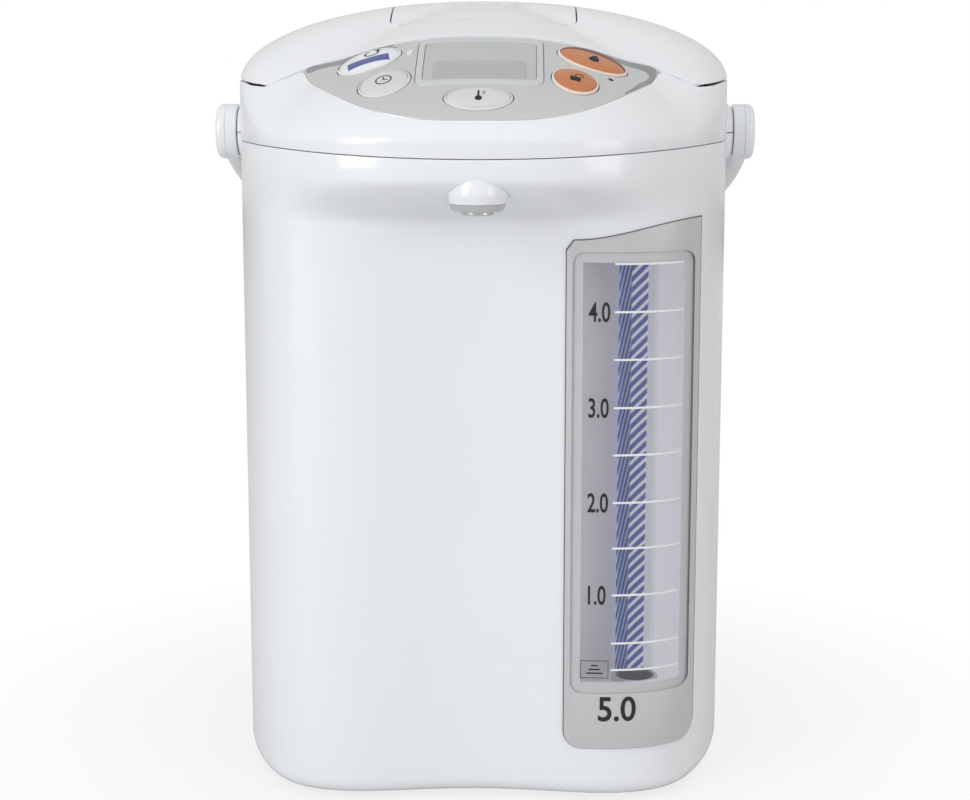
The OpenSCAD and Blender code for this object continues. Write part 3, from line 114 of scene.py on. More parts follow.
# Buttons: centre, half-lengths, turn in plan, how proud the rim stands, how much more the middle.
BUTTONS = {
    "reboil": ((-45, -80), (12.9, 11.2), 12, 0.8, 1.2),
    "timer": ((-37.4, -104), (10.4, 10.0), 6, 0.4, 0.6),
    "temp": ((0, -119.6), (13.4, 7.1), 0, 0.4, 0.6),
    "dispense": ((45, -80), (14.1, 11.2), -12, 0.8, 1.2),
    "unlock": ((37.5, -103), (9.2, 9.4), -6, 0.8, 0.8),
}
BUTTON_GAP, KEY_RIM = 0.4, 0.8                     # gap round a key, width of its rim

TURNS = np.arange(0, 360, 1.25)                    # directions round the housing
FRONT_DEPTH = (-140, -60)                          # y span of the cutters through the lower front
PANEL_CUT, LID_CUT = (270, 330), (280, 340)        # z spans of the cutters through panel and lid
SHARP, SOFT_ANGLE = 32, 38                         # edges sharper than these are creased, softened


# ---------- the pot's curves ----------
def smooth(u):
    """0 to 1 as u goes from 0 to 1, flat at both ends."""
    u = np.clip(u, 0, 1)
    return u * u * (3 - 2 * u)


def soft_max(a, b, k):
    """The larger of a and b, blended where they are closer than k."""
    h = np.maximum(k - np.abs(a - b), 0) / k
    return np.maximum(a, b) + h * h * k / 4


def from_front(t):
    """How far direction t is from the beak, to either side."""
    return np.minimum(t % 360, 360 - t % 360)


def upper_plan(t):
    """The widest outline of the housing at direction t, as x and y."""
    s, c = np.sin(np.radians(t)), np.cos(np.radians(t))
    power = 2 / PLAN_POWER
    x = np.where(c > 1e-4, HALF_W * np.sign(s) * np.abs(s) ** power, HALF_W * s)
    y = np.where(c > 1e-4, -BEAK * np.abs(c) ** power, -HALF_W * c)
    return np.stack([x, y], -1)


def front_y(x):
    """The hollowed lower front before it meets the sides."""
    hollow = (1 + np.cos(math.pi * np.minimum(1, np.abs(x) / RIDGE_X))) / 2
    return -FRONT_WALL + FRONT_HOLLOW * hollow


def lower_plan(t):
    p = upper_plan(t)
    cut = soft_max(p[..., 1], front_y(p[..., 0]), FRONT_BLEND)
    return np.stack([p[..., 0], np.where(np.cos(np.radians(t)) > 1e-4, cut, p[..., 1])], -1)


def lower_y(x):
    """The lower front's own y at a given x."""
    full = -BEAK * (1 - np.minimum(1, np.abs(x) / HALF_W) ** PLAN_POWER) ** (1 / PLAN_POWER)
    return soft_max(full, front_y(x), FRONT_BLEND)


def pull_in(p, d):
    """Points moved towards the axis by d."""
    return p * (1 - d / np.linalg.norm(p, axis=-1, keepdims=True))


def housing_plan(t, z):
    """The housing's outline at height z: the lower one, then the swell to the upper one."""
    e = smooth((z - HOLLOW_TOP_Z) / (LIP_Z - HOLLOW_TOP_Z))
    return lower_plan(t) * (1 - e) + upper_plan(t) * e


def seam_z(t):
    """Height of the seam between housing and shoulder."""
    x = upper_plan(t)[..., 0]
    dip = SEAM_DIP * np.maximum(0, 1 - (x / 95) ** 2) ** 1.3
    return SEAM_Z - np.where(np.cos(np.radians(t)) > 0, dip, 0)


def side_share(t):
    """0 at the beak, 1 from the sides round the back."""
    return smooth((from_front(t) - 45) / 40)


def dome_z0(t):
    return BEAK_Z0 + (SIDE_Z0 - BEAK_Z0) * side_share(t)


def dome_m(t):
    return BEAK_M + (SIDE_M - BEAK_M) * side_share(t)


def dome_z(s, t):
    """The dome's height at share s of the way from its centre to its rim."""
    m, z0 = dome_m(t), dome_z0(t)
    return z0 + (DOME_TOP - z0) * np.maximum(0, 1 - np.minimum(1, s) ** m) ** (1 / m)


def level_s(z, t):
    """The share at which the dome is at height z."""
    m, z0 = dome_m(t), dome_z0(t)
    return np.where(z <= z0, 1, (1 - np.clip((z - z0) / (DOME_TOP - z0), 0, 1) ** m) ** (1 / m))


def ray(s, t):
    """The point at share s of the way from the dome's centre to its rim."""
    p = upper_plan(t)
    return np.stack([s * p[..., 0], EYE_Y + s * (p[..., 1] - EYE_Y)], -1)


def reach(t):
    """From the dome's centre to its rim."""
    p = upper_plan(t)
    return np.hypot(p[..., 0], p[..., 1] - EYE_Y)


def height(x, y):
    """The dome's height above a point of its front half."""
    x, y = np.broadcast_arrays(np.asarray(x, float), np.asarray(y, float))
    lo, hi = np.full(x.shape, -90.0), np.full(x.shape, 90.0)
    for _ in range(30):
        t = (lo + hi) / 2
        p = upper_plan(t)
        left = p[..., 0] * (y - EYE_Y) - (p[..., 1] - EYE_Y) * x < 0
        lo, hi = np.where(left, lo, t), np.where(left, t, hi)
    t = (lo + hi) / 2
    return dome_z(np.hypot(x, y - EYE_Y) / reach(t), t)


def slope_normal(x, y, h=0.5):
    """The direction square to the dome above a point."""
    across = height(x - h, y) - height(x + h, y)
    along = height(x, y - h) - height(x, y + h)
    n = np.array([across, along, 2 * h])
    return n / np.linalg.norm(n)


def lid_level(t):
    return LID_SEAM_Z - LID_SEAM_DROP * (1 - smooth((from_front(t) - 60) / 20))


def front_s(t):
    """Where the lid's front edge crosses the dome, as a share; 9 where it doesn't."""
    edge = LID_FRONT + 7 * smooth((from_front(t) - 50) / 12)
    y = upper_plan(t)[..., 1]
    ahead = np.cos(np.radians(t)) > 1e-4
    return np.where(ahead, (EYE_Y + edge) / np.maximum(1e-6, EYE_Y - y), 9)


def lid_s(t):
    """Where the opening for the lid ends, as a share of the dome."""
    return np.minimum(front_s(t), level_s(lid_level(t), t))


def lid_edge_s(t):
    """Where the lid itself ends, a gap inside its opening."""
    front = 1 - smooth((from_front(t) - 52) / 12)
    return np.minimum(front_s(t) - 0.006 * front, level_s(lid_level(t) + LID_GAP, t))


def panel_low(x):
    """The y of the panel's front edge at x."""
    u = np.minimum(1, np.abs(x) / PANEL_HALF)
    return -(PANEL_TIP_Y + (PANEL_REACH - PANEL_TIP_Y) * (1 - u ** 3) ** 0.9)


def panel_edge_s(t):
    """Where the panel ends, as a share of the dome."""
    lo, hi = np.full(t.shape, 0.3), np.ones(t.shape)
    for _ in range(24):
        s = (lo + hi) / 2
        p = ray(s, t)
        outside = p[..., 1] < panel_low(p[..., 0])
        lo, hi = np.where(outside, lo, s), np.where(outside, s, hi)
    return (lo + hi) / 2


# ---------- outlines in a plane ----------
def ellipse_rim(centre, a, b, turn, n=72):
    u = np.linspace(0, 2 * math.pi, n, endpoint=False)
    c, s = math.cos(math.radians(turn)), math.sin(math.radians(turn))
    x, y = a * np.cos(u), b * np.sin(u)
    return np.stack([centre[0] + x * c - y * s, centre[1] + x * s + y * c], -1)


def circle(centre, r, n=64):
    return ellipse_rim(centre, r, r, 0, n)


def arc(r, start, end, n=16, centre=(0, 0), squash=1.0):
    """Points along a round line, from one angle to another, its height squashed."""
    u = np.radians(np.linspace(start, end, n))
    return np.stack([centre[0] + r * np.cos(u), centre[1] + r * squash * np.sin(u)], -1)


def box_rim(centre, w, h, r, n=8, side=12):
    """A rectangle with round corners, counter-clockwise, its straight sides divided too."""
    points = []
    corners = [(1, 1), (-1, 1), (-1, -1), (1, -1)]
    for q, (sx, sy) in enumerate(corners):
        for k in range(n + 1):
            u = math.radians(90 * q + 90 * k / n)
            x, y = sx * (w / 2 - r), sy * (h / 2 - r)
            points.append((x + r * math.cos(u), y + r * math.sin(u)))
        here, (nx, ny), u = np.array(points[-1]), corners[(q + 1) % 4], math.radians(90 * (q + 1))
        there = [nx * (w / 2 - r) + r * math.cos(u), ny * (h / 2 - r) + r * math.sin(u)]
        points += [tuple(here + (there - here) * k / side) for k in range(1, side)]
    return np.array(points) + centre


def eye_rim(inset, n=70):
    """The panel's outline: a curved lower edge, and an upper one whose ends clear the lid."""
    x = (PANEL_HALF - 3 - inset) * (1 - 2 * np.arange(n + 1) / n)
    low = np.stack([x, panel_low(x) + inset], -1)
    back = PANEL_BACK + inset + 1.8 * smooth((np.abs(x) - PANEL_HALF + 13) / 10)
    return np.concatenate([low[::-1], np.stack([-x, -back], -1)[::-1]])


def key_outline(key, grow):
    """A key's rim in the plane that it is pressed along, grown all round."""
    spot, (a, b), turn, _, _ = BUTTONS[key]
    up = slope_normal(*spot)
    fall = up[:2] / np.linalg.norm(up[:2])
    e = ellipse_rim((0, 0), a + grow, b + grow, turn)
    return e + (e @ fall)[:, None] * fall * (1 / up[2] - 1)


def window_rim(grow):
    left, low, right, high = WINDOW
    centre = ((left + right) / 2, (low + high) / 2)
    return box_rim(centre, right - left + 2 * grow, high - low + 2 * grow, 2 + grow, side=6)


def trim_outline(grow=0.0):
    """The gauge trim's outline by x and z: round lower corners and a top that rises to the left."""
    left, low, right, high = np.array(TRIM) + (-grow, -grow, grow, grow)
    r = TRIM_R + grow
    points = [*arc(r, 180, 270, 11, (left + r, low + r)),
              *arc(r, 270, 360, 11, (right - r, low + r))]
    for u in 1 - np.arange(25) / 24:
        points.append((left + 3 + (right - left - 3) * u, high + TRIM_RISE * float(smooth(u))))
    return points + [(left, high - 4)]


def lever_rim(grow):
    centre = (0, (LEVER_BACK - LEVER_FRONT) / 2)
    return box_rim(centre, LEVER_W + 2 * grow, LEVER_BACK + LEVER_FRONT + 2 * grow, 6 + grow)


def spout_profile(grow, low):
    """The spout cover's radius and height pairs, grown all round, from a low end to its dome."""
    r = SPOUT_R - 0.8 + grow
    dome = arc(6, 0, 84, 15, (SPOUT_R - 6 + grow, SPOUT_LOW_Z + 3.2), (9 + grow) / 6)
    return [(0, low), (r - 0.5, low), (r - 0.1, low + 0.4), (r, low + 1.2), (r, SPOUT_LOW_Z + 1),
            *dome, (0, SPOUT_LOW_Z + 12.2 + grow)]


# ---------- how points lie on the dome ----------
def over_dome(points, rise):
    points = np.asarray(points, float)
    return np.concatenate([points, (height(points[..., 0], points[..., 1]) + rise)[..., None]], -1)


def at(plan, z):
    """Plan points lifted to height z, one height for all or one for each."""
    z = np.broadcast_to(np.asarray(z, float), plan.shape[:-1])
    return np.concatenate([plan, z[..., None]], -1)


def on_front(points, proud):
    """Points given by x and z, laid on the lower front and proud of it."""
    p = np.asarray(points, float)
    return np.stack([p[:, 0], lower_y(p[:, 0]) - proud, p[:, 1]], -1)


def key_lay(key):
    """Lays points on the dome along the way that a key is pressed."""
    spot = np.asarray(BUTTONS[key][0], float)
    up = slope_normal(*spot)

    def lay(points, rise):
        e = np.asarray(points, float) - spot
        p = np.concatenate([e + spot, (height(*spot) - e @ up[:2] / up[2])[..., None]], -1)
        for _ in range(4):
            p = p + up * ((height(p[..., 0], p[..., 1]) - p[..., 2]) * up[2])[..., None]
        return p + up * np.asarray(rise, float)[..., None]

    return lay


# ---------- making pieces ----------
def raw(name, points, faces):
    """A plain mesh object from points in millimetres, its faces turned outwards."""
    mesh = bpy.data.meshes.new(name)
    mesh.from_pydata((np.asarray(points, float) * MM).tolist(), [], faces)
    bm = bmesh.new()
    bm.from_mesh(mesh)
    bmesh.ops.remove_doubles(bm, verts=bm.verts, dist=1e-7)
    bmesh.ops.recalc_face_normals(bm, faces=bm.faces)
    bm.to_mesh(mesh)
    bm.free()
    obj = bpy.data.objects.new(name, mesh)
    bpy.context.scene.collection.objects.link(obj)
    return obj


def apply_modifiers(obj):
    graph = bpy.context.evaluated_depsgraph_get()
    mesh = bpy.data.meshes.new_from_object(obj.evaluated_get(graph))
    obj.modifiers.clear()
    obj.data = mesh
    return obj


def carve(obj, *tools, operation="DIFFERENCE"):
    """Cuts the tools out of obj, or keeps what it shares with them, and throws the tools away."""
    for tool in tools:
        step = obj.modifiers.new("carve", "BOOLEAN")
        step.object, step.operation, step.solver = tool, operation, "EXACT"
    apply_modifiers(obj)
    for tool in tools:
        bpy.data.objects.remove(tool)
    return obj


def join(obj, *others):
    """One object of several meshes that may run into each other."""
    bm = bmesh.new()
    for o in (obj, *others):
        bm.from_mesh(o.data)
    bm.to_mesh(obj.data)
    bm.free()
    for o in others:
        bpy.data.objects.remove(o)
    return obj


def dress(obj, body, slot, finish, *nodes):
    """Finishes a piece: its shading, its material, its body, and the nodes that it stands for."""
    obj.data.materials.clear()
    obj.data.materials.append(finish)
    obj.data.polygons.foreach_set("material_index", [0] * len(obj.data.polygons))
    obj.data.polygons.foreach_set("use_smooth", [True] * len(obj.data.polygons))
    obj.data.set_sharp_from_angle(angle=math.radians(SHARP))
    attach(obj, body)
    if nodes:
        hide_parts(*nodes)
    return obj


def loops(name, sections):
    """A solid from one closed section per step round: an array of steps, points and xyz."""
    n, m = sections.shape[:2]
    faces = []
    for i in range(n):
        here, there = i * m, ((i + 1) % n) * m
        faces += [(here + j, here + (j + 1) % m, there + (j + 1) % m, there + j) for j in range(m)]
    return raw(name, sections.reshape(-1, 3), faces)


def disc(name, sections, low, high):
    """A solid from open sections that start round a low point and end round a high point."""
    n, m = sections.shape[:2]
    faces = [(i * m + j, i * m + j + 1, ((i + 1) % n) * m + j + 1, ((i + 1) % n) * m + j)
             for i in range(n) for j in range(m - 1)]
    faces += [(n * m, ((i + 1) % n) * m, i * m) for i in range(n)]
    faces += [(n * m + 1, i * m + m - 1, ((i + 1) % n) * m + m - 1) for i in range(n)]
    return raw(name, np.concatenate([sections.reshape(-1, 3), [low, high]]), faces)


def sweep(name, rings):
    """A bar through closed rings, its ends closed flat."""
    n, m = rings.shape[:2]
    faces = [(i * m + j, i * m + (j + 1) % m, (i + 1) * m + (j + 1) % m, (i + 1) * m + j)
             for i in range(n - 1) for j in range(m)]
    faces += [tuple(range(m)), tuple(range((n - 1) * m, n * m))]
    return raw(name, rings.reshape(-1, 3), faces)


def spin(name, profile, place, axis="Z", closed=False, n=96):
    """A turned piece from radius and height pairs. An open profile starts and ends on the axis."""
    profile = np.asarray(profile, float)
    u = np.linspace(0, 2 * math.pi, n, endpoint=False)[:, None]
    r, h = profile[None, :, 0], profile[None, :, 1]
    x, y, z = r * np.cos(u), r * np.sin(u), h + 0 * u
    turned = {"Z": (x, y, z), "X": (z, x, y), "-X": (-z, x, -y)}[axis]
    sections = np.stack(turned, -1) + place
    if closed:
        return loops(name, sections)
    return disc(name, sections[:, 1:-1], sections[0, 0], sections[0, -1])


def prism(name, outline, lo, hi, axis="Z"):
    """An outline pushed from lo to hi along X, Y or Z."""
    outline = np.asarray(outline, float)
    rings = []
    for level in (lo, hi):
        w = np.full(len(outline), float(level))
        a, b = outline[:, 0], outline[:, 1]
        rings.append(np.stack({"Z": (a, b, w), "Y": (a, w, b), "X": (w, a, b)}[axis], -1))
    return sweep(name, np.array(rings))


def bar(name, low, high):
    """A plain block between two corners, used as a cutter or a joined detail."""
    (x0, y0, z0), (x1, y1, z1) = low, high
    return prism(name, [(x0, y0), (x1, y0), (x1, y1), (x0, y1)], z0, z1)


def rod(name, x0, x1, r, y, z, n=64):
    return prism(name, circle((y, z), r, n), x0, x1, "X")


def post(name, x, y, z0, z1, r, n=64):
    return prism(name, circle((x, y), r, n), z0, z1)


def front_cutter(outline):
    """A cutter through the lower front, from an outline by x and z."""
    return prism("cut", outline, *FRONT_DEPTH, "Y")


def soften(obj, width):
    """Rounds a piece's edges."""
    step = obj.modifiers.new("soft edge", "BEVEL")
    step.width, step.segments, step.limit_method = width * MM, 3, "ANGLE"
    step.angle_limit, step.use_clamp_overlap = math.radians(SOFT_ANGLE), True
    return apply_modifiers(obj)


def upright(name, outline, spot, low, high):
    """An outline pushed along the dome's own normal at a spot."""
    n = Vector(slope_normal(*spot))
    turn = Vector((0, 0, 1)).rotation_difference(n).to_matrix().to_4x4()
    centre = Vector((*spot, float(height(*spot)))) * MM
    obj = prism(name, outline, low, high)
    obj.data.transform(Matrix.Translation(centre) @ turn)
    return obj


def key_hole(key, grow, low):
    """A cutter for a key's well, from a depth below the dome to above it."""
    return upright("cut", key_outline(key, grow), BUTTONS[key][0], low, 8)


def plate(name, centre, rim, top, thick, bulge=0.0, rings=20, edge=0.35, lay=over_dome):
    """A plate that follows the dome inside a rim, its top edge rounded, its middle raised."""
    centre = np.asarray(centre, float)
    share = np.linspace(1 / rings, 1, rings)
    span = np.linalg.norm(rim - centre, axis=-1)
    spots = centre + (rim - centre)[:, None] * share[None, :, None]
    flat = np.zeros(spots.shape[:-1])
    under = lay(spots, flat + top - thick)
    over = lay(spots, flat + top + bulge * (1 - share ** 4))[:, ::-1]
    lip = []
    for u in (0, 30, 60, 90):
        pull = edge * (1 - math.cos(math.radians(u)))
        drop = edge * (1 - math.sin(math.radians(u)))
        p = centre + (rim - centre) * (1 - pull / span)[:, None]
        lip.append(lay(p, np.full(len(p), top - drop)))
    sections = np.concatenate([under, np.stack(lip, 1), over[:, 1:]], 1)
    return disc(name, sections, lay(centre, top - thick), lay(centre, top + bulge))


# ---------- materials ----------
class Wire:
    """A value on its way to a shader: arithmetic on it adds Math nodes to its tree."""

    def __init__(self, nodes, socket):
        self.nodes, self.socket = nodes, socket

    def math(self, operation, *others):
        terms = dict(enumerate([self, *others]))
        return self.nodes.node("ShaderNodeMath", {"operation": operation}, terms)

    def swapped(self, operation, other):
        return self.nodes.node("ShaderNodeMath", {"operation": operation}, {0: other, 1: self})

    def __add__(self, other):
        return self.math("ADD", other)

    def __sub__(self, other):
        return self.math("SUBTRACT", other)

    def __mul__(self, other):
        return self.math("MULTIPLY", other)

    def __truediv__(self, other):
        return self.math("DIVIDE", other)

    def __pow__(self, other):
        return self.math("POWER", other)

    def __rsub__(self, other):
        return self.swapped("SUBTRACT", other)

    def __rtruediv__(self, other):
        return self.swapped("DIVIDE", other)

    __radd__, __rmul__ = __add__, __mul__

    def fraction(self):
        return self.math("FRACT")

    def clamped(self):
        return self.nodes.node("ShaderNodeClamp", {}, {"Value": self})


class Nodes:
    """A node tree, and short ways to add nodes to it."""

    def __init__(self, tree):
        self.tree = tree

    def put(self, socket, value):
        if isinstance(value, Wire):
            self.tree.links.new(value.socket, socket)
        elif socket.type == "RGBA":
            socket.default_value = (*value, 1)
        else:
            socket.default_value = value

    def node(self, kind, settings, inputs, output=0):
        made = self.tree.nodes.new(kind)
        for key, value in settings.items():
            setattr(made, key, value)
        for key, value in inputs.items():
            self.put(made.inputs[key], value)
        return Wire(self, made.outputs[output])

    def place(self):
        """Where a point is on the object, in metres."""
        return self.node("ShaderNodeTexCoord", {}, {}, "Object")

    def parts(self, vector):
        made = self.tree.nodes.new("ShaderNodeSeparateXYZ")
        self.tree.links.new(vector.socket, made.inputs[0])
        return [Wire(self, out) for out in made.outputs]

    def stretched(self, x, y, z):
        inputs = {0: self.place(), 1: (x, y, z)}
        return self.node("ShaderNodeVectorMath", {"operation": "MULTIPLY"}, inputs)

    def noise(self, scale, detail=2.0, vector=None):
        inputs = {"Vector": vector or self.place(), "Scale": scale, "Detail": detail}
        return self.node("ShaderNodeTexNoise", {}, inputs)

    def blend(self, share, a, b):
        """Colour a where share is 0, colour b where it is 1."""
        made = self.tree.nodes.new("ShaderNodeMix")
        made.data_type = "RGBA"
        for key, value in (("Factor", share), ("A", a), ("B", b)):
            kind = "VALUE" if key == "Factor" else "RGBA"
            self.put(next(s for s in made.inputs if s.name == key and s.type == kind), value)
        return Wire(self, next(s for s in made.outputs if s.type == "RGBA"))


class Paint(Nodes):
    """One material: a Principled shader and the nodes that feed it."""

    def __init__(self, name, color, roughness, **fixed):
        self.material = bpy.data.materials.new(name)
        self.material.use_nodes = True
        super().__init__(self.material.node_tree)
        self.shader = self.tree.nodes["Principled BSDF"]
        self.feed({"Base Color": color, "Roughness": roughness})
        self.feed({key.replace("_", " ").title(): value for key, value in fixed.items()})

    def feed(self, inputs):
        for key, value in inputs.items():
            self.put(self.shader.inputs[key], value)
        return self

    def bump(self, grain, depth):
        inputs = {"Height": grain, "Distance": depth}
        return self.feed({"Normal": self.node("ShaderNodeBump", {}, inputs)})


def darker(color, share):
    return tuple(c * share for c in color)


def glossy_plastic(name, color=(0.83, 0.845, 0.865), roughness=0.2, coat=0.35):
    """Moulded glossy plastic with the faint unevenness of a polished tool."""
    paint = Paint(name, color, roughness, coat_roughness=0.08)
    cloud = paint.noise(18, detail=1)
    paint.feed({"Base Color": paint.blend(cloud, darker(color, 0.975), color), "Coat Weight": coat,
                "Roughness": paint.noise(420) * 0.06 + (roughness - 0.03)})
    return paint.bump(paint.noise(900, detail=1), depth=0.000012).material


def moulded(name, color, roughness=0.45, grain=2500, depth=0.00004):
    """Plain moulded plastic with a fine spark-eroded grain."""
    paint = Paint(name, color, roughness)
    fleck = paint.noise(grain, detail=3)
    paint.feed({"Base Color": paint.blend(fleck, darker(color, 0.9), color),
                "Roughness": fleck * 0.12 + (roughness - 0.06)})
    return paint.bump(fleck, depth).material


def brushed(name, color, roughness, along, tone=0.08, metallic=1.0):
    """Metal, or a metal lacquer, with fine brush lines along one axis."""
    paint = Paint(name, color, roughness, metallic=metallic)
    scale = [5200.0 if axis != along else 60.0 for axis in "XYZ"]
    lines = paint.noise(1.0, detail=3, vector=paint.stretched(*scale))
    paint.feed({"Base Color": paint.blend(lines, darker(color, 1 - tone * 2), color),
                "Roughness": lines * 0.14 + (roughness - 0.07)})
    return paint.bump(lines, depth=0.00001).material


def satin_silver(name, color):
    """Silver-grey lacquer with fine metal flakes."""
    paint = Paint(name, color, 0.34, metallic=0.35, coat_roughness=0.12)
    flake = paint.noise(6000, detail=1)
    paint.feed({"Base Color": paint.blend(flake, darker(color, 0.93), color), "Coat Weight": 0.5,
                "Roughness": flake * 0.1 + 0.3})
    return paint.bump(flake, depth=0.000008).material


def clear(name, color, alpha, roughness=0.04):
    """Clear plastic, its haze a little uneven."""
    paint = Paint(name, color, roughness)
    haze = paint.noise(60, detail=2)
    return paint.feed({"Alpha": haze * 0.03 + (alpha - 0.015),
                       "Roughness": haze * 0.03 + roughness}).material


def translucent_orange(name):
    """Amber button plastic with a faint swirl of deeper colour."""
    deep, light = (0.42, 0.13, 0.045), (0.60, 0.225, 0.085)
    paint = Paint(name, light, 0.3, coat_roughness=0.12)
    swirl = paint.noise(90, detail=2)
    paint.feed({"Base Color": paint.blend(swirl * 0.5 + 0.4, deep, light), "Coat Weight": 0.12,
                "Roughness": swirl * 0.08 + 0.28})
    return paint.bump(paint.noise(1200, detail=1), depth=0.00001).material


def lining_with_painted_light_and_shade(name):
    """Pale satin plastic behind the tube, with painted light and shade: darker on its left, lighter
    towards its right side, and a faint painted glow.
    """
    # The emission is a painted glow; the lining is no lamp.
    paint = Paint(name, (0.6, 0.6, 0.62), 0.35, emission_strength=0.12)
    x, _, _ = paint.parts(paint.place())
    fleck = paint.noise(1500, detail=2)
    # Painted shade and light: darker on the left, lighter towards the right, by x.
    share = ((x - 0.050) * 45 + fleck * 0.06).clamped()
    paint.feed({"Base Color": paint.blend(share, (0.42, 0.41, 0.43), (0.88, 0.88, 0.89)),
                "Roughness": fleck * 0.1 + 0.3, "Emission Color": (0.9, 0.9, 0.93)})
    return paint.bump(fleck, depth=0.00002).material


def stripes(name):
    """Slanting blue and white bands printed on the level strip, closing up where it curves away; its
    left part, where it curves away, painted darker as shade, and the whole strip given a painted
    glow.
    """
    # The emission is a painted glow; the strip is no lamp.
    paint = Paint(name, (0.7, 0.74, 0.85), 0.4, emission_strength=0.45)
    x, _, z = paint.parts(paint.place())
    across = ((x - GAUGE_X * MM) / (STRIP_R * MM)).math("MAXIMUM", -0.98).math("MINIMUM", 0.98)
    turned = across.math("ARCSINE") * STRIP_R
    band = (z / (STRIPE_PITCH * MM) - turned / STRIPE_PITCH * STRIPE_SLANT).fraction()
    ragged = paint.noise(700, detail=2) * 0.16
    soft = ((band - 0.5).math("ABSOLUTE") * 7 - 1.65 + ragged).clamped()
    fine = (x / (1.7 * MM) - z / (7.0 * MM)).fraction()
    streak = ((fine - 0.5).math("ABSOLUTE") * 5 - 0.9).clamped()
    left = paint.blend(streak, (0.025, 0.035, 0.20), (0.30, 0.36, 0.66))
    right = paint.blend(soft, (0.06, 0.08, 0.42), (0.88, 0.90, 0.97))
    # Painted shade: the strip's left part takes the darker colours.
    bands = paint.blend(((across + 0.36) * 9).clamped(), left, right)
    return paint.feed({"Base Color": bands, "Emission Color": bands}).material


def printed(name, color, roughness=0.5):
    """Flat colour with a fine speck: ink for print, and also for the painted shadows and shades."""
    paint = Paint(name, color, roughness)
    speck = paint.noise(3000, detail=1)
    return paint.feed({"Base Color": paint.blend(speck, darker(color, 0.85), color)}).material


white = glossy_plastic("white shell")
white_lid = glossy_plastic("white lid", (0.835, 0.85, 0.87), roughness=0.22)
white_inner = glossy_plastic("white inner moulding", (0.74, 0.755, 0.775), roughness=0.32, coat=0.1)
pearl_key = glossy_plastic("pearl key", (0.80, 0.81, 0.85), coat=0.3)
panel_paint = satin_silver("panel lacquer", (0.64, 0.645, 0.65))
bezel_paint = glossy_plastic("display bezel", (0.58, 0.595, 0.60), roughness=0.22, coat=0.3)
glass_paint = glossy_plastic("display glass", (0.50, 0.51, 0.51), roughness=0.1, coat=0.5)
field_paint = glossy_plastic("display field", (0.43, 0.435, 0.425), roughness=0.14, coat=0.5)
key_paint = glossy_plastic("grey key", (0.65, 0.66, 0.665), roughness=0.3, coat=0.1)
soft_rim = glossy_plastic("grey key rim", (0.70, 0.71, 0.72), roughness=0.35, coat=0.1)
cream_rim = glossy_plastic("cream key rim", (0.80, 0.70, 0.62), roughness=0.3, coat=0.2)
rim_paint = glossy_plastic("key rim", (0.80, 0.80, 0.79), coat=0.5)
orange = translucent_orange("orange key")
trim_paint = brushed("brushed trim", (0.57, 0.57, 0.58), 0.45, along="Z", tone=0.05, metallic=0.1)
nozzle_paint = brushed("nozzle metal", (0.62, 0.63, 0.64), 0.3, along="Z", metallic=0.7)
steel = brushed("stainless sheet", (0.68, 0.68, 0.69), 0.34, along="Z", metallic=0.7)
pin_steel = brushed("pin steel", (0.55, 0.55, 0.56), 0.25, along="X")
gold = brushed("plated contacts", (0.72, 0.5, 0.16), 0.25, along="Y")
grey_inner = moulded("grey inner plastic", (0.36, 0.37, 0.38))
pale_inner = moulded("pale liner plastic", (0.60, 0.61, 0.62), roughness=0.38)
dark_inner = moulded("dark moulding", (0.025, 0.025, 0.028), roughness=0.5)
rubber = moulded("black rubber", (0.012, 0.012, 0.013), roughness=0.7, grain=1800, depth=0.00008)
silicone = moulded("grey silicone", (0.42, 0.42, 0.40), roughness=0.5, grain=700)
board_paint = moulded("circuit board", (0.012, 0.11, 0.045), roughness=0.4, grain=900)
clear_window = clear("clear window", (0.80, 0.81, 0.86), alpha=0.04)
clear_tube = clear("clear tube", (0.80, 0.83, 0.92), alpha=0.03)
lining = lining_with_painted_light_and_shade("gauge lining with painted light and shade")
strip_paint = stripes("striped level strip with painted shade and glow")
ink_dark_and_painted_shadow = printed("dark print and painted shadow line", (0.008, 0.009, 0.012), roughness=0.6)
painted_gap_shadow = printed("painted gap shadow", (0.12, 0.12, 0.125), roughness=0.6)
ink_white = printed("white print", (0.86, 0.87, 0.88))
ink_blue = printed("blue print", (0.085, 0.105, 0.34), roughness=0.3)
painted_shade_brown = printed("painted brown shade", (0.135, 0.055, 0.03), roughness=0.35)
painted_shadow_grey = printed("painted grey shadow", (0.295, 0.30, 0.31), roughness=0.4)


# ---------- housing and shoulder ----------
def rounded_edge(plan, z, up):
    """Rows of a quarter round that ends a wall: from the wall's face to its end face."""
    rows = []
    for a in (0, 25, 50, 70, 90):
        c, s = math.cos(math.radians(a)), math.sin(math.radians(a))
        rows.append(at(pull_in(plan, SEAM_R * (1 - c)), z + up * SEAM_R * (s - 1)))
    return rows


def pivot_holes():
    """Cutters for the two round holes that the bail's bosses stand in."""
    return [rod("cut", side * HOLE_IN, side * HOLE_OUT, BOSS_R + 0.1, 0, PIVOT_Z, 96)
            for side in (-1, 1)]


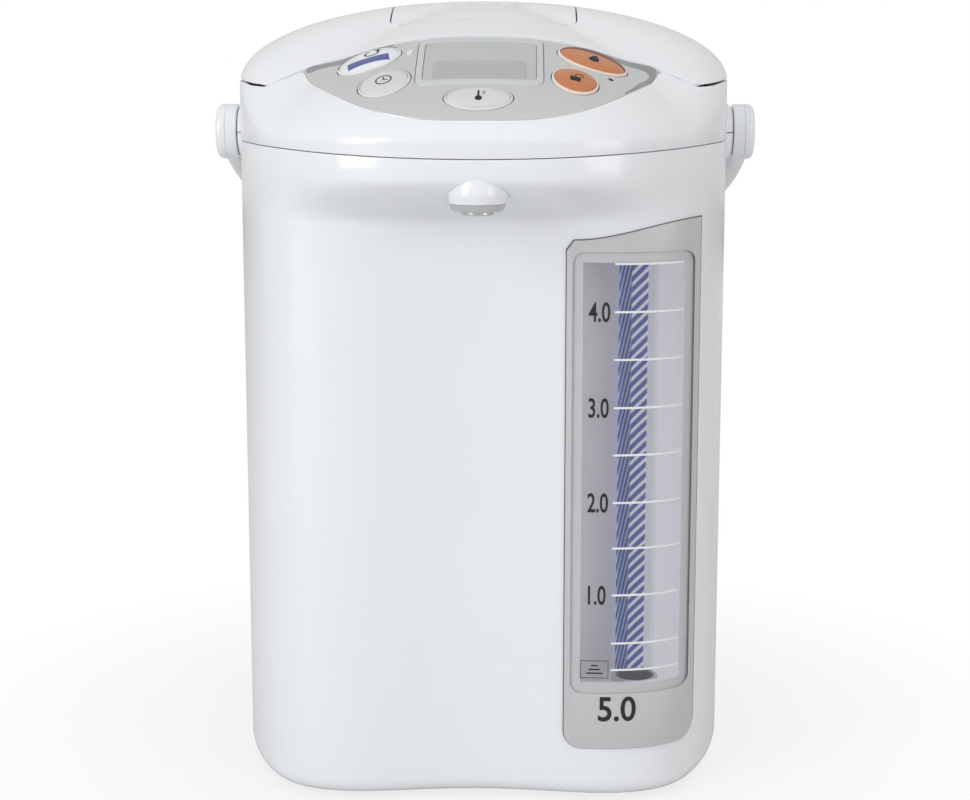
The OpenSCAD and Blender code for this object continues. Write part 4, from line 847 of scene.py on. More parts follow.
def build_housing():
    t = TURNS
    low, top = lower_plan(t), upper_plan(t)
    rows = []
    for a in range(0, 91, 10):
        s, c = math.sin(math.radians(a)), math.cos(math.radians(a))
        rows.append(at(pull_in(low, FOOT_R * (1 - s)), BASE_Z + FOOT_R * (1 - c)))
    rows += [at(low, z) for z in np.arange(30, HOLLOW_TOP_Z - 10, 25)]
    swell = np.linspace(HOLLOW_TOP_Z, LIP_Z, 17)
    rows += [at(housing_plan(t, z), z) for z in swell]
    rows += rounded_edge(top, seam_z(t), 1)
    rows.append(at(pull_in(top, WALL), seam_z(t)))
    rows += [at(pull_in(housing_plan(t, z), WALL), z + WALL * 0.6) for z in swell[::-4]]
    rows += [at(pull_in(low, inset), BASE_Z + up) for inset, up in
             ((WALL, FOOT_R + 3), (RIM_OUT, RIM_T), (RIM_IN, RIM_T), (RIM_IN, 0))]
    shell = loops("housing", np.stack(rows, 1))
    cuts = [front_cutter(window_rim(-BORDER_IN)),
            spin("cut", spout_profile(0.1, 235), (0, -SPOUT_Y, 0)),
            post("cut", 0, -SPOUT_Y, 250, 264, SPOUT_R - 3.9),
            prism("cut", box_rim((0, SOCKET_Z), SOCKET_W + 0.4, SOCKET_H + 0.4, 3.2), 85, 110, "Y"),
            *pivot_holes()]
    for turn in (45, 135, 225, 315):                   # a hole and a recess for each cover screw
        x, y = pull_in(lower_plan(np.array([turn])), SCREW_IN)[0]
        cuts += [post("cut", x, y, 0, 10, 1.9, 32), post("cut", x, y, 0, BASE_Z + 1.4, 3.3, 32)]
    return dress(carve(shell, *cuts), "pot", "white_shell", white, "outer_body")


def build_shoulder():
    """The ring between housing and lid: seam, dome, a shelf for the panel, and the deck inside."""
    t = TURNS
    top, m, z0, span = upper_plan(t), dome_m(t), dome_z0(t), reach(t)
    lid = lid_s(t)
    inner = np.minimum(lid + 0.004, 0.975)             # the wall round the lid's opening
    base = np.minimum(inner + 0.018, 0.99)             # outer end of the ledge round it
    ledge = np.where(from_front(t) < 62, np.maximum(base, panel_edge_s(t)), base)
    cap = dome_z(lid, t) - 0.5                         # the ledge stays below the lid's edge

    def ground(s):
        return np.minimum(dome_z(s, t), cap)

    # The shelf under the panel ends at the panel's tips, 56 to 58.5 degrees from the beak.
    shelf = (PANEL_T + SHELF_GAP) * (1 - smooth((from_front(t) - 56) / 2.5))
    skin = 1 - WALL / span
    cave = np.minimum(inner + WALL / span, skin - 0.012)
    share = np.clip((1 - 2 * WALL / span - inner) / 0.1, 0, 1)
    under = DECK_Z - DECK_T

    def ceiling(s):
        return under + share * (dome_z(s, t) - PANEL_T - 2.4 - under)

    rows = rounded_edge(top, seam_z(t) + SEAM_GAP, -1)[::-1]
    rows.append(at(top, z0 - 0.6))
    g_end = np.arccos(np.clip(ledge, 0, 1) ** (m / 2))
    for f in np.linspace(0, 1, 22):
        s = np.cos(g_end * f) ** (2 / m)
        rows.append(at(ray(s, t), ground(s)))
    for k in range(3):
        s = ledge - 0.0015 - (ledge - 0.0015 - inner) * k / 2
        rows.append(at(ray(s, t), ground(s) - shelf))
    mouth = ray(inner, t) * (DECK_IN / span)[:, None]
    rows += [at(ray(inner, t), DECK_Z), at(mouth, DECK_Z)]
    rows += [at(mouth, under), at(ray(cave - 0.003, t), under)]
    for k in range(6):
        s = cave + (skin - cave) * k / 5
        rows.append(at(ray(s, t), ceiling(s)))
    rows.append(at(ray(skin, t), seam_z(t) + SEAM_GAP))
    shell = loops("shoulder_shell", np.stack(rows, 1))
    slot = ((-LATCH_HALF, -LID_FRONT - 4, LATCH_Z - 1.2),
            (LATCH_HALF, -LID_FRONT + 2, LATCH_Z + 3.8))
    cuts = [*pivot_holes(), post("cut", 0, TANK_Y, DECK_Z - 10, DECK_Z + 10, MOUTH_R, 96),
            prism("cut", eye_rim(PANEL_SHELF), DECK_Z + 4, DECK_Z + 64), bar("cut", *slot)]
    cuts += [key_hole(key, BUTTON_GAP, -(KEY_DEPTH + KEY_TRAVEL + 2)) for key in BUTTONS]
    return dress(carve(shell, *cuts), "pot", "white_shell", white, "shoulder")


# ---------- lid ----------
def lid_rows(t, s, drop, shares):
    """Rows over the dome from the lid's edge to the crown, lowered and pulled in by drop."""
    m, z0 = dome_m(t), dome_z0(t)
    a = np.arcsin(np.clip((dome_z(s, t) - z0) / (DOME_TOP - z0), 0, 1) ** (m / 2))
    rows = []
    for share in shares:
        g = a + (math.pi / 2 - a) * share
        q = np.maximum(np.cos(g), 0) ** (2 / m)
        rows.append(at(ray(np.maximum(0.01, q - drop / reach(t)), t), dome_z(q, t) - drop))
    return rows


def build_lid():
    """The lid's shell with its hinge knuckle at the back and the tongue that carries the lever."""
    t = TURNS
    s = lid_edge_s(t)
    low = dome_z(s, t) - 0.3 - 4 * (1 - smooth((from_front(t) - 50) / 14))
    shares = 1 - (1 - np.linspace(0, 0.985, 30)) ** 1.15
    rows = lid_rows(t, s, LID_WALL, shares[::-3])
    rows += [at(ray(s - LID_WALL / reach(t), t), low), at(ray(s, t), low)]
    rows += lid_rows(t, s, 0, shares)
    crown = [(0, EYE_Y, DOME_TOP - drop) for drop in (LID_WALL, 0)]
    shell = soften(disc("lid_cover_shell", np.stack(rows, 1), *crown), 0.55)
    cuts = [prism("cut", lever_rim(0), *LID_CUT), post("cut", 0, VENT_Y, 290, 330, VENT_R + 0.1, 72)]
    cuts += [rod("cut", side * HINGE_HALF, side * (HINGE_HALF + EAR_W + 0.8), 5, HINGE_Y, HINGE_Z)
             for side in (-1, 1)]
    carve(shell, *cuts)
    root = ((-HINGE_HALF, HALF_W - 1.6, HINGE_Z - 1), (HINGE_HALF, HINGE_Y - 0.6, HINGE_Z + 3))
    tongue = ((-TONGUE_HALF, LEVER_PIN_Y, LEVER_PIN_Z - 2),
              (TONGUE_HALF, LEVER_PIN_Y + 8, LEVER_PIN_Z + 1.2))
    roll = rod("roll", -TONGUE_HALF, TONGUE_HALF, LEVER_ROLL, LEVER_PIN_Y, LEVER_PIN_Z, 40)
    join(shell, soften(rod("knuckle", -HINGE_HALF, HINGE_HALF, 4.2, HINGE_Y, HINGE_Z, 72), 0.6),
         soften(bar("root", *root), 0.5), soften(bar("tongue", *tongue), 0.4), soften(roll, 0.3))
    return dress(shell, "lid", "white_shell", white_lid, "lid_cover")


def build_lever():
    """The lever's plate, its front edge turned about the pin, and the rolls that it turns on."""
    centre = np.array([0, (LEVER_BACK - LEVER_FRONT) / 2])
    front = plate("lever_plate", centre, lever_rim(-LEVER_GAP), 0, LID_WALL, edge=0.6)
    back = front.copy()
    back.data = front.data.copy()
    bpy.context.scene.collection.objects.link(back)
    pin = (LEVER_PIN_Y, LEVER_PIN_Z)
    carve(front, bar("keep", (-60, -60, 290), (60, LEVER_PIN_Y, 350)),
          rod("keep", -60, 60, LEVER_SWEEP, *pin, 192), operation="INTERSECT")
    carve(back, rod("keep", -60, 60, LEVER_ROLL, *pin), operation="INTERSECT")
    rolls = [rod("roll", side * 5, side * 16.6, LEVER_ROLL, *pin) for side in (-1, 1)]
    return dress(join(front, back, *rolls), "lid_lever", "white_shell", white_lid, "lid_lever")


def build_vent():
    top = DOME_TOP - 6
    profile = [(0, 318), (6.5, 318), (6.5, 308), (11, 308), (11, 309), (VENT_R, 309),
               (VENT_R, top - 1.2), (8.6, top - 0.4), (7.8, top), (6.2, top - 0.1),
               (5.4, top - 0.6), (0, top - 0.7)]
    body = spin("steam_vent_grille", profile, (0, VENT_Y, 0))
    slots = [prism("cut", box_rim((x, VENT_Y), 1.8, length, 0.85, side=3), 300, 340)
             for x, length in ((-4, 9), (0, 10), (4, 9))]
    return dress(carve(body, *slots), "lid", "white_shell", white_inner, "steam_vent")


# ---------- control panel ----------
def build_panel():
    panel = plate("control_panel_skin", (0, -97), eye_rim(0.5), 0, PANEL_T, rings=26, edge=0.3)
    cuts = [key_hole(key, BUTTON_GAP, -8) for key in BUTTONS]
    cuts.append(prism("cut", box_rim(LCD_MID, LCD_W, LCD_H, 5), *PANEL_CUT))
    return dress(carve(panel, *cuts), "pot", "panel_silver", panel_paint, "control_panel")


def build_display():
    """The bezel in the panel, the window in the bezel, and a blank field behind it."""
    def window(gap):
        return box_rim(middle, LCD_W - LCD_SIDES - gap, LCD_H - LCD_ENDS - gap, 2)

    middle = LCD_MID - [0, LCD_SHIFT]
    rim = box_rim(LCD_MID, LCD_W - 0.4, LCD_H - 0.4, 5)
    bezel = plate("display_bezel", LCD_MID, rim, 0.5, PANEL_T + 0.5, edge=0.7)
    carve(bezel, prism("cut", window(0), *PANEL_CUT))
    dress(bezel, "pot", "bezel_grey", bezel_paint, "lcd_frame")
    glass = plate("display_glass", middle, window(0.2), 0.1, 1.2, edge=0.2)
    dress(glass, "pot", "display", glass_paint, "lcd_window")
    field = plate("display_field", FIELD_MID, box_rim(FIELD_MID, FIELD_W, FIELD_H, 0.8), 0.16, 0.3,
                  rings=8, edge=0.04)
    dress(field, "pot", "display", field_paint)


def build_button(key, finish, rim_finish, slot):
    """A key in two pieces: a ring round its edge and the domed cap inside it."""
    spot, (a, b), turn, proud, bulge = BUTTONS[key]
    node, lay = key + "_button", key_lay(key)
    rim = plate(key + "_rim", spot, ellipse_rim(spot, a, b, turn), proud, KEY_DEPTH + proud,
                rings=10, edge=0.5, lay=lay)
    carve(rim, key_hole(key, -KEY_RIM, -8))
    dress(rim, node, "white_shell", rim_finish, node)
    inside = ellipse_rim(spot, a - KEY_RIM - 0.12, b - KEY_RIM - 0.12, turn)
    cap = plate(key + "_cap", spot, inside, proud, PANEL_T + proud, bulge,
                rings=14, edge=0.45, lay=lay)
    dress(cap, node, slot, finish, node)


def drape(name, spot, turn, key, finish, slot, strokes=(), fills=(), lift=0.05):
    """Flat marks on a key, or on the panel where key is empty.

    Strokes are lines with a width, fills are outlines.
    """
    c, s = math.cos(math.radians(turn)), math.sin(math.radians(turn))
    points, faces = [], []

    def laid(p, rise):
        if not key:
            return over_dome(p, rise)
        centre, (a, b), lean, proud, bulge = BUTTONS[key]
        lean_c, lean_s = math.cos(math.radians(lean)), math.sin(math.radians(lean))
        q = p - centre
        u = (q[:, 0] * lean_c + q[:, 1] * lean_s) / (a - KEY_RIM)
        v = (-q[:, 0] * lean_s + q[:, 1] * lean_c) / (b - KEY_RIM)
        return key_lay(key)(p, rise + proud + bulge * (1 - np.minimum(1, np.hypot(u, v)) ** 4))

    def add(outline):
        p = np.asarray(outline, float)
        p = np.stack([spot[0] + p[:, 0] * c - p[:, 1] * s, spot[1] + p[:, 0] * s + p[:, 1] * c], -1)
        base, n = len(points), len(p)
        points.extend(laid(p, lift).tolist())
        points.extend(laid(p, -0.25).tolist())
        faces.append(tuple(range(base, base + n)))
        faces.append(tuple(range(base + 2 * n - 1, base + n - 1, -1)))
        for i in range(n):
            k = (i + 1) % n
            faces.append((base + i, base + n + i, base + n + k, base + k))

    for line, width in strokes:
        line = np.asarray(line, float)
        for p, q in zip(line[:-1], line[1:]):
            d = (q - p) / np.linalg.norm(q - p) * width / 2
            side = np.array([-d[1], d[0]])
            add([p - d * 0.3 + side, p - d * 0.3 - side, q + d * 0.3 - side, q + d * 0.3 + side])
    for outline in fills:
        add(outline)
    return dress(raw(name, points, faces), key + "_button" if key else "pot", slot, finish)


def ribbon(one, other, n, rows):
    """Small four-sided fills between two lines, so that a wide mark follows the curve under it."""
    def spread(line):
        line = np.asarray(line, float)
        run = np.concatenate([[0], np.cumsum(np.linalg.norm(np.diff(line, axis=0), axis=1))])
        stops = np.linspace(0, run[-1], n + 1)
        return np.stack([np.interp(stops, run, line[:, k]) for k in (0, 1)], -1)

    a, b = spread(one), spread(other)
    made = []
    for r in range(rows):
        p, q = a + (b - a) * r / rows, a + (b - a) * (r + 1) / rows
        made += [[p[k], p[k + 1], q[k + 1], q[k]] for k in range(n)]
    return made


def key_edge(key, sides, far, start, end, n):
    """A line along a key's far edge, inset at the key's sides and at its far end."""
    a, b = BUTTONS[key][1]
    return arc(a - sides, start, end, n, squash=(b - far) / (a - sides))


# Painted shadows beside the panel's tips, where the lid overhangs: the key that each stops at, its
# steps, its upper and lower line.
PAINTED_PANEL_SHADOWS = {
    "left": ("reboil", 40, [
        (-71.6, -69.6), (-71.4, -68.2), (-69.6, -67.0), (-64, -66.6),
        (-56, -66.5), (-46, -66.5), (-36, -66.5),
    ], [
        (-70.7, -71.6), (-69.0, -71.6), (-66.8, -70.4), (-62, -70.2),
        (-57, -72.4), (-46, -70.6), (-35.4, -67.6),
    ]),
    "right": ("dispense", 56, [
        (48, -66.5), (56, -66.6), (64, -66.7), (69.4, -67.2), (71.4, -69.0),
        (71.1, -73.0), (69.0, -79.4), (66.1, -85.4), (61.6, -94.6), (57.4, -101.4),
    ], [
        (46, -68.4), (54, -71.0), (60, -71.8), (64.4, -71.2), (67.2, -72.4),
        (68.3, -75.6), (66.3, -80.8), (63.8, -85.9), (60.3, -94.6), (57.0, -101.2),
    ]),
}


def build_marks():
    """Generic signs on the keys: heat again, clock, thermometer, pouring drop and padlock; and
    painted shadows along the reboil and dispense keys' far edges and beside the panel's tips.
    """
    drape("reboil_sign", (-43.6, -77.4), 6, "reboil", ink_dark_and_painted_shadow, "bezel_grey",
          [(arc(2.7, 110, 400), 0.7)], [[(0.9, 3.3), (2.7, 0.5), (3.8, 3.2)]])
    drape("reboil_patch", (-44.6, -84.4), 6, "reboil", ink_blue, "bezel_grey",
          fills=ribbon([(-8.2, -2.5), (8.2, -2.5)], [(-8.2, 2.5), (8.2, 2.5)], 20, 5), lift=0.09)
    # A painted shadow line along the reboil key's far edge, in the dark print material.
    drape("reboil_edge_painted_shadow", (-45, -80), 12, "reboil", ink_dark_and_painted_shadow, "bezel_grey",
          [(key_edge("reboil", 0.35, 0.35, 18, 172, 40), 0.32)], lift=0.04)
    # A painted brown shade along the dispense key's far edge, under the lid's edge.
    upper, lower = (key_edge("dispense", 1.2, far, 8, 172, 60) for far in (1.2, 7.6))
    drape("dispense_painted_shade", (45, -80), -12, "dispense", painted_shade_brown, "orange",
          fills=ribbon(upper, lower, 44, 6), lift=0.1)
    drape("timer_sign", (-37.4, -103.6), 6, "timer", ink_dark_and_painted_shadow, "bezel_grey",
          [(arc(3.0, 0, 360, 28), 0.55), ([(0, 0), (0, 2.1)], 0.5), ([(0, 0), (1.5, -0.4)], 0.5)])
    drape("temp_sign", (0, -119.2), 0, "temp", ink_dark_and_painted_shadow, "bezel_grey",
          [([(0, -0.6), (0, 2.8)], 0.8), ([(1.6, 2.2), (2.6, 2.2)], 0.4),
           ([(1.6, 1.0), (2.6, 1.0)], 0.4)],
          [arc(1.4, 0, 345, 16, (0, -1.6))])
    drape("dispense_sign", (45.2, -82.0), -12, "dispense", ink_dark_and_painted_shadow, "bezel_grey",
          fills=[[*arc(2.3, 200, 340, 14, (0, -1)), (1.5, 0.9), (0, 3.6), (-1.5, 0.9)]])
    drape("unlock_sign", (37.4, -102.8), -6, "unlock", ink_dark_and_painted_shadow, "bezel_grey",
          [(arc(1.5, -10, 190, 10, (1.3, 1.6)), 0.5)], [box_rim((0, -0.9), 4.2, 3.4, 0.5, side=3)])
    # Painted grey shadows beside the panel's tips, where the lid overhangs.
    for side, (key, steps, upper, lower) in PAINTED_PANEL_SHADOWS.items():
        shade = drape("painted_panel_shadow_" + side, (0, 0), 0, "", painted_shadow_grey, "panel_silver",
                      fills=ribbon(upper, lower, steps, 4), lift=0.12)
        carve(shade, key_hole(key, 0.3, -4))
    drape("lamp_dot", (51.8, -93.7), 0, "", ink_dark_and_painted_shadow, "bezel_grey", fills=[arc(1.0, 0, 345, 24)])
    drape("ready_light", (-28.5, -79.7), 0, "", rim_paint, "white_shell",
          fills=[box_rim((0, 0), 2.2, 4.6, 1.0, side=3)], lift=0.3)


# ---------- level gauge ----------
def front_sheet(name, turns, proud, heights, inside, *cuts):
    """A curved sheet on the lower front between two directions, kept inside one outline."""
    plan = lower_plan(np.linspace(*turns, 72))
    outline = np.concatenate([pull_in(plan, -proud[0]), pull_in(plan, -proud[1])[::-1]])
    sheet = carve(prism(name, outline, *heights), front_cutter(inside), operation="INTERSECT")
    for cut in cuts:
        carve(sheet, front_cutter(cut))
    return sheet


def build_gauge():
    """Window, trim, the painted shadow line in the gap round the trim, the window's border, and the
    level strip.
    """
    around = (WINDOW[1] - 4, WINDOW[3] + 4)
    foot, top = TRIM[1], TRIM[3] + TRIM_RISE
    lens = front_sheet("gauge_window", (14, 64), (SHEET_GAP, LENS_PROUD), around,
                       window_rim(LENS_LAP))
    dress(soften(lens, 0.2), "pot", "clear", clear_window, "gauge_lens")
    trim = front_sheet("gauge_surround", (10, 72), (SHEET_GAP, TRIM_PROUD), (foot, top + 1),
                       trim_outline(), window_rim(LENS_LAP + 0.08))
    dress(soften(trim, 0.25), "pot", "trim_silver", trim_paint, "gauge_trim")
    # A painted shadow line in the gap round the trim.
    gap = front_sheet("trim_gap_painted_shadow", (9, 73), (0.02, 0.25), (foot - 1, top + 2),
                      trim_outline(TRIM_LINE), trim_outline(-1))
    dress(gap, "pot", "trim_silver", painted_gap_shadow)
    border = front_sheet("window_border", (12, 68), (0.02, 0.1), around,
                         window_rim(BORDER_LAP), window_rim(-BORDER_IN))
    dress(border, "pot", "trim_silver", trim_paint)
    u = np.radians(np.linspace(*STRIP_SPAN, 40))
    middle = np.array([GAUGE_X, -GAUGE_Y])
    ring = np.stack([np.cos(u), np.sin(u)], -1)
    faces = np.concatenate([middle + STRIP_R * ring, middle + (STRIP_R - STRIP_T) * ring[::-1]])
    dress(prism("level_strip", faces, *STRIP_Z), "pot", "strip_print", strip_paint, "gauge_strip")


def ticks(name, spans, thick, finish):
    """Lines across the window: each runs from one x to another at a height."""
    points, faces = [], []
    n = 14
    m = 2 * n
    for x0, x1, z in spans:
        x = np.linspace(x0, x1, n)
        line = np.concatenate([np.stack([x, np.full(n, z - thick / 2)], -1),
                               np.stack([x[::-1], np.full(n, z + thick / 2)], -1)])
        base = len(points)
        points.extend(on_front(line, PRINT_PROUD + 0.05).tolist())
        points.extend(on_front(line, PRINT_PROUD - 0.1).tolist())
        back = base + m
        for i in range(n - 1):
            faces.append((base + i, base + i + 1, back - 2 - i, back - 1 - i))
            faces.append((back + i, back + m - 1 - i, back + m - 2 - i, back + i + 1))
        for i in range(m):
            k = (i + 1) % m
            faces.append((base + i, back + i, back + k, base + k))
    return dress(raw(name, points, faces), "pot", "clear", finish)


def numeral(name, text, x, z, size, squeeze, proud):
    """Plain figures laid on the front, as wide as squeeze times their font's own width."""
    curve = bpy.data.curves.new(name, "FONT")
    curve.body, curve.size = text, size
    curve.extrude, curve.offset = 0.08, PRINT_BOLDER * size
    curve.align_x, curve.align_y = "CENTER", "CENTER"
    words = bpy.data.objects.new(name, curve)
    bpy.context.scene.collection.objects.link(words)
    graph = bpy.context.evaluated_depsgraph_get()
    mesh = bpy.data.meshes.new_from_object(words.evaluated_get(graph))
    bpy.data.objects.remove(words)
    flat = np.array([v.co[:] for v in mesh.vertices])
    flat -= (flat.max(0) + flat.min(0)) / 2
    here = on_front(np.stack([x + flat[:, 0] * squeeze, z + flat[:, 1]], -1), proud)
    mesh.vertices.foreach_set("co", ((here - np.outer(flat[:, 2], (0, 1, 0))) * MM).ravel())
    obj = bpy.data.objects.new(name, mesh)
    bpy.context.scene.collection.objects.link(obj)
    return dress(obj, "pot", "clear", ink_dark_and_painted_shadow)


def build_scale():
    """Lines for whole and half litres, figures for the whole ones, and the generic refill mark."""
    heights = [*(z for _, z in SCALE), FULL_Z, REFILL_Z]
    ticks("scale_lines", [(LINE_FROM, LINE_TO, z) for z in heights], LINE_T, ink_white)
    for value, z in SCALE:
        if value == int(value):
            numeral("scale_%d" % value, "%.1f" % value, FIGURE_X, z, FIGURE_SIZE, FIGURE_SQUEEZE,
                    PRINT_PROUD)
    numeral("capacity_number", "5.0", CAPACITY_X, CAPACITY_Z, CAPACITY_SIZE, CAPACITY_SQUEEZE,
            TRIM_PROUD)
    left, low, right, high = REFILL_BOX
    for k, x in enumerate((left, right - REFILL_LINE)):
        ticks("refill_side_%d" % k, [(x, x + REFILL_LINE, (low + high) / 2)], high - low, ink_dark_and_painted_shadow)
    ticks("refill_frame", [(left, right, high), (left, right, low)], REFILL_LINE, ink_dark_and_painted_shadow)
    arrow = [(43.6, 50.2, 56.1), (44.6, 49.2, 57.7), (45.6, 48.2, 59.3)]
    ticks("refill_mark", arrow, 0.55, ink_dark_and_painted_shadow)


# ---------- spout ----------
def build_spout():
    """The hood over the spout with a collar inside it, and the nozzle that comes down through it."""
    place, z = (0, -SPOUT_Y, 0), SPOUT_LOW_Z
    cover = spin("spout_hood", spout_profile(0, z), place)
    carve(cover, post("cut", 0, -SPOUT_Y, 240, 280, SPOUT_TUBE_R))
    collar = spin("collar", [(5.7, 254), (8, 254), (8, 263.4), (5.7, 263.4)], place, closed=True)
    dress(join(cover, collar), "pot", "white_shell", white, "spout_cover")
    profile = [(SPOUT_BORE_R, z - 4.0), (4.4, z - 4.4), (6.0, z - 4.4), (6.4, z - 4.0),
               (6.4, z - 3.0), (9.6, z - 2.8), (10.1, z - 2.3), (10.8, z - 0.2), (10.5, z),
               (SPOUT_TUBE_R, z), (SPOUT_TUBE_R, z + 21.5), (SPOUT_BORE_R, z + 21.5)]
    nozzle = spin("spout_tip", profile, place, closed=True)
    dress(nozzle, "pot", "trim_silver", nozzle_paint, "spout_nozzle")


# ---------- bail ----------
def signed_pow(v, p):
    return np.sign(v) * np.abs(v) ** p


def bail_point(u):
    """The middle line of the bail at angle u: 0 at the grip, 90 either way at the pivots."""
    u = np.radians(u)
    half, back = BAIL_HALF - ARM_T / 2 - 0.3, BAIL_REACH - (ARM_T + GRIP_DEEPER) / 2 - 0.05
    return np.stack([half * signed_pow(np.sin(u), 2 / BAIL_POWER),
                     back * np.abs(np.cos(u)) ** (2 / BAIL_POWER), 0 * u], -1)


def build_bail():
    """The carrying bail: arms that widen into the grip, round ends, pins, caps and bosses."""
    u = np.concatenate([[-89.5], np.arange(-87, 87.1, 1.5), [89.5]])
    middle = bail_point(u)
    ahead = bail_point(np.minimum(89.9, u + 1)) - bail_point(np.maximum(-89.9, u - 1))
    ahead /= np.linalg.norm(ahead, axis=-1, keepdims=True)
    side, up = np.cross([0, 0, 1], ahead), np.array([0, 0, 1])
    grip = smooth((60 - np.abs(u)) / 35)
    tall, deep = ARM_H + GRIP_TALLER * grip, ARM_T + GRIP_DEEPER * grip
    a = np.radians(np.arange(0, 360, 10))
    outwards = deep[:, None] / 2 * signed_pow(np.cos(a), 0.7)
    upwards = tall[:, None] / 2 * signed_pow(np.sin(a), 0.7)
    rings = middle[:, None] + side[:, None] * outwards[..., None] + up * upwards[..., None]
    c, s = math.cos(math.radians(BAIL_SLOPE)), -math.sin(math.radians(BAIL_SLOPE))
    turn = np.array([[1, 0, 0], [0, c, -s], [0, s, c]])
    arm = sweep("bail", rings @ turn.T + [0, 0, PIVOT_Z])
    place, end = (0, 0, PIVOT_Z), CAP_IN - 0.05
    for sign in (-1, 1):
        carve(arm, rod("cut", sign * end, sign * (BAIL_HALF + 2), LOBE_R + 0.25, 0, PIVOT_Z, 96))
    lobe = [(0, LOBE_IN), (LOBE_R - 0.5, LOBE_IN), (LOBE_R, LOBE_IN + 0.5), (LOBE_R, end), (0, end)]
    cap = [(0, CAP_IN), (LOBE_R - 0.3, CAP_IN), (LOBE_R, CAP_IN + 0.3),
           *arc(2.6, 0, 90, 10, (LOBE_R - 2.6, BAIL_HALF - 2.6)), (0, BAIL_HALF)]
    for sign, axis, name in ((1, "X", "right"), (-1, "-X", "left")):
        pin = rod("pin", sign * 100, sign * (LOBE_IN + 1), PIN_R, 0, PIVOT_Z)
        join(arm, spin("lobe", lobe, place, axis), pin)
        end_cap = spin("bail_cap_" + name, cap, place, axis)
        dress(end_cap, "handle", "white_shell", white, "handle_caps")
        boss = build_boss("pivot_boss_" + name, sign, axis)
        dress(boss, "pot", "white_shell", white, "pivot_bosses")
    return dress(arm, "handle", "white_shell", white, "handle")


def build_boss(name, sign, axis):
    """A coned boss whose flange lies behind the housing, split where housing and shoulder meet."""
    place, bore = (0, 0, PIVOT_Z), PIN_R + 0.05
    cone = [(bore, BOSS_IN), (BOSS_R, BOSS_IN), (BOSS_R, 105.8), (BOSS_R - 0.2, 106.3),
            (11.1, 108.6), (10.6, 109), (bore, 109)]
    ring = [(BOSS_R - 1, BOSS_IN), (16, BOSS_IN), (16, BOSS_IN + 3), (BOSS_R - 1, BOSS_IN + 3)]
    boss = spin(name, cone, place, axis, closed=True)
    flange = spin("flange", ring, place, axis, closed=True)
    carve(flange, bar("cut", (-120, -20, DECK_Z - DECK_T - 0.4), (120, 20, 310)))
    carve(boss, flange, operation="UNION")
    x0, x1 = sorted((sign * 105.3, sign * 113.3))
    groove = bar("cut", (x0, -20, PIVOT_Z - 0.2), (x1, 20, PIVOT_Z + 0.2))
    carve(groove, rod("core", sign * BOSS_IN, sign * 120, BOSS_R - 3.4, 0, PIVOT_Z))
    return carve(boss, groove, bar("cut", (-101.4, -20, DECK_Z + 5.4), (101.4, 20, 310)))


# ---------- finishes of the pieces that keep their own shape ----------
FINISHES = {
    steel: ("tank", "inner_lid", "tank_filter", "motor_bracket", "latch_strike", "cover_screws"),
    pin_steel: ("lever_pin", "hinge_pin", "pump_motor", "motor_rotor"),
    grey_inner: ("swivel_clip", "base_heater", "band_heater", "lcd_module"),
    pale_inner: ("tube_grommets", "lid_liner", "steam_duct", "lid_latch", "pump_housing",
                 "pump_cover", "impeller"),
    dark_inner: ("bottom_cover", "swivel_plate", "power_socket", "button_switches", "thermostat"),
    rubber: ("swivel_feet",),
    silicone: ("tank_seal", "lid_gasket", "suction_sleeve", "delivery_hose", "spout_hose"),
    board_paint: ("power_board", "control_board"),
    gold: ("socket_pins",),
    white_inner: ("lever_well", "hinge_bracket"),
    lining: ("gauge_backing",),
    clear_tube: ("gauge_tube",),
}


def finish_node(node, finish):
    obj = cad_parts[node]
    for part in obj if isinstance(obj, (list, tuple)) else [obj]:
        if not part.data.materials:
            part.data.materials.append(finish)
        for slot in part.material_slots:
            slot.material = finish


# ---------- floor, light and camera ----------
FLOOR_HALF, FADE_FROM, FADE_OVER, GLOW_NEAR = 3000, 0.12, 0.16, 0.78
SKY_LEVEL, GLOSSY_SKY = 0.42, 0.35                 # light of the world, and how much gloss sees more
FOCAL_PX, FRAME_PX = 2000, 970                     # focal length and width of the frame in pixels
CAMERA_AT, CAMERA_DOWN, CAMERA_YAW = (18.8, -895.8, 305.3), 9.843, 1.2
# Lamps: place and aim in metres, width and height, power, colour, whether glossy surfaces show it.
LAMPS = {
    "left softbox": ((-1.35, -1.25, 0.9), (0, 0, 0.17), (0.7, 1.5), 16.5, (0.97, 0.985, 1), True),
    "top softbox": ((0.1, -0.2, 1.7), (0, 0, 0.2), (1.4, 1.0), 5.6, (1, 1, 1), False),
    "right fill": ((1.5, -1.3, 0.6), (0, 0, 0.17), (0.8, 1.2), 7, (1, 1, 1), True),
    "front softbox": ((0.2, -2.1, 0.95), (0, 0, 0.17), (1.2, 1.0), 3.9, (1, 1, 1), False),
    "rear softbox": ((0.6, 1.9, 1.0), (0, 0, 0.17), (1.2, 1.0), 7, (1, 1, 1), False),
}


def build_floor():
    """A floor that the camera sees fade to plain white away from the pot, its shadow kept."""
    corners = [(x * FLOOR_HALF, y * FLOOR_HALF, 0) for x, y in ((-1, -1), (1, -1), (1, 1), (-1, 1))]
    floor = raw("floor", corners, [(0, 1, 2, 3)])
    paint = Paint("floor paint", (0.74, 0.74, 0.74), 0.6)
    seen = paint.node("ShaderNodeLightPath", {}, {}, "Is Camera Ray")
    glow = paint.node("ShaderNodeEmission", {}, {"Color": (1, 1, 1), "Strength": 1.0})
    lit = Wire(paint, paint.shader.outputs[0])
    x, y, _ = paint.parts(paint.place())
    away = (((x * x + y * y) ** 0.5 - FADE_FROM) / FADE_OVER).clamped()
    share = seen * (away * (1 - GLOW_NEAR) + GLOW_NEAR)
    mixed = paint.node("ShaderNodeMixShader", {}, {0: share, 1: lit, 2: glow})
    out = next(n for n in paint.tree.nodes if n.type == "OUTPUT_MATERIAL")
    paint.put(out.inputs[0], mixed)
    floor.data.materials.append(paint.material)


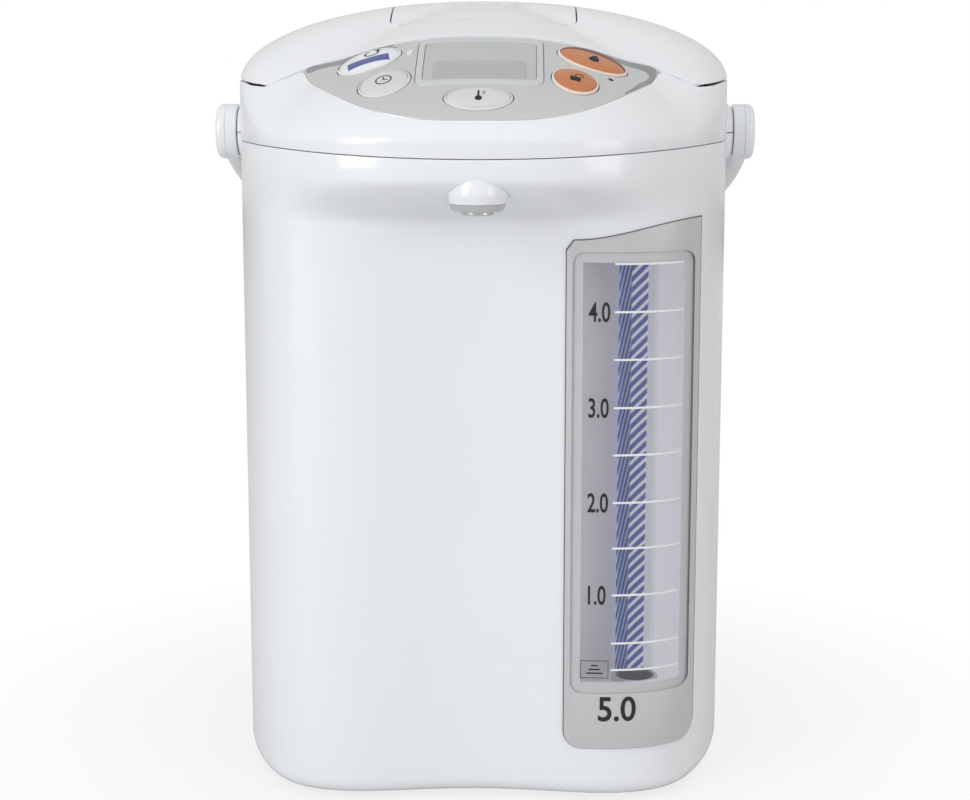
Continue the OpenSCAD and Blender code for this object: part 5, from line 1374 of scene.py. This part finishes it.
def build_world():
    """White to the camera, partly to gloss, wholly through clear plastic, and dim for the rest."""
    world = bpy.data.worlds.new("studio")
    bpy.context.scene.world = world
    world.use_nodes = True
    sky = Nodes(world.node_tree)
    path = sky.tree.nodes.new("ShaderNodeLightPath")
    camera, gloss, through = (Wire(sky, path.outputs["Is %s Ray" % kind])
                              for kind in ("Camera", "Glossy", "Transmission"))
    share = (camera + gloss * GLOSSY_SKY + through).clamped()
    back = sky.tree.nodes["Background"]
    sky.put(back.inputs["Strength"], share * (1 - SKY_LEVEL) + SKY_LEVEL)
    sky.put(back.inputs["Color"], (1, 1, 1))


def lamp(name, place, aim, size, power, color, mirrored):
    light = bpy.data.lights.new(name, "AREA")
    light.shape, light.size, light.size_y = "RECTANGLE", *size
    light.energy, light.color = power, color
    obj = bpy.data.objects.new(name, light)
    obj.location = place
    obj.rotation_euler = (Vector(aim) - Vector(place)).to_track_quat("-Z", "Y").to_euler()
    obj.visible_glossy = mirrored
    bpy.context.scene.collection.objects.link(obj)


def build_camera():
    data = bpy.data.cameras.new("camera")
    data.sensor_width, data.lens = 36.0, 36.0 * FOCAL_PX / FRAME_PX
    data.clip_start, data.clip_end = 0.05, 20
    obj = bpy.data.objects.new("camera", data)
    obj.location = Vector(CAMERA_AT) * MM
    pitch, yaw = math.radians(CAMERA_DOWN), math.radians(CAMERA_YAW)
    look = (-math.sin(yaw) * math.cos(pitch), math.cos(yaw) * math.cos(pitch), -math.sin(pitch))
    obj.rotation_euler = Vector(look).to_track_quat("-Z", "Y").to_euler()
    bpy.context.scene.collection.objects.link(obj)
    bpy.context.scene.camera = obj


# ---------- the whole scene ----------
build_housing()
build_shoulder()
build_lid()
build_lever()
build_vent()
build_panel()
build_display()
build_button("reboil", pearl_key, rim_paint, "key_grey")
build_button("timer", key_paint, soft_rim, "key_grey")
build_button("temp", key_paint, soft_rim, "key_grey")
build_button("dispense", orange, cream_rim, "orange")
build_button("unlock", orange, cream_rim, "orange")
build_marks()
build_gauge()
build_scale()
build_spout()
build_bail()
for finish, nodes in FINISHES.items():
    for node in nodes:
        finish_node(node, finish)
build_floor()
build_world()
for name, settings in LAMPS.items():
    lamp(name, *settings)
build_camera()
bpy.context.scene.view_settings.view_transform = "Standard"
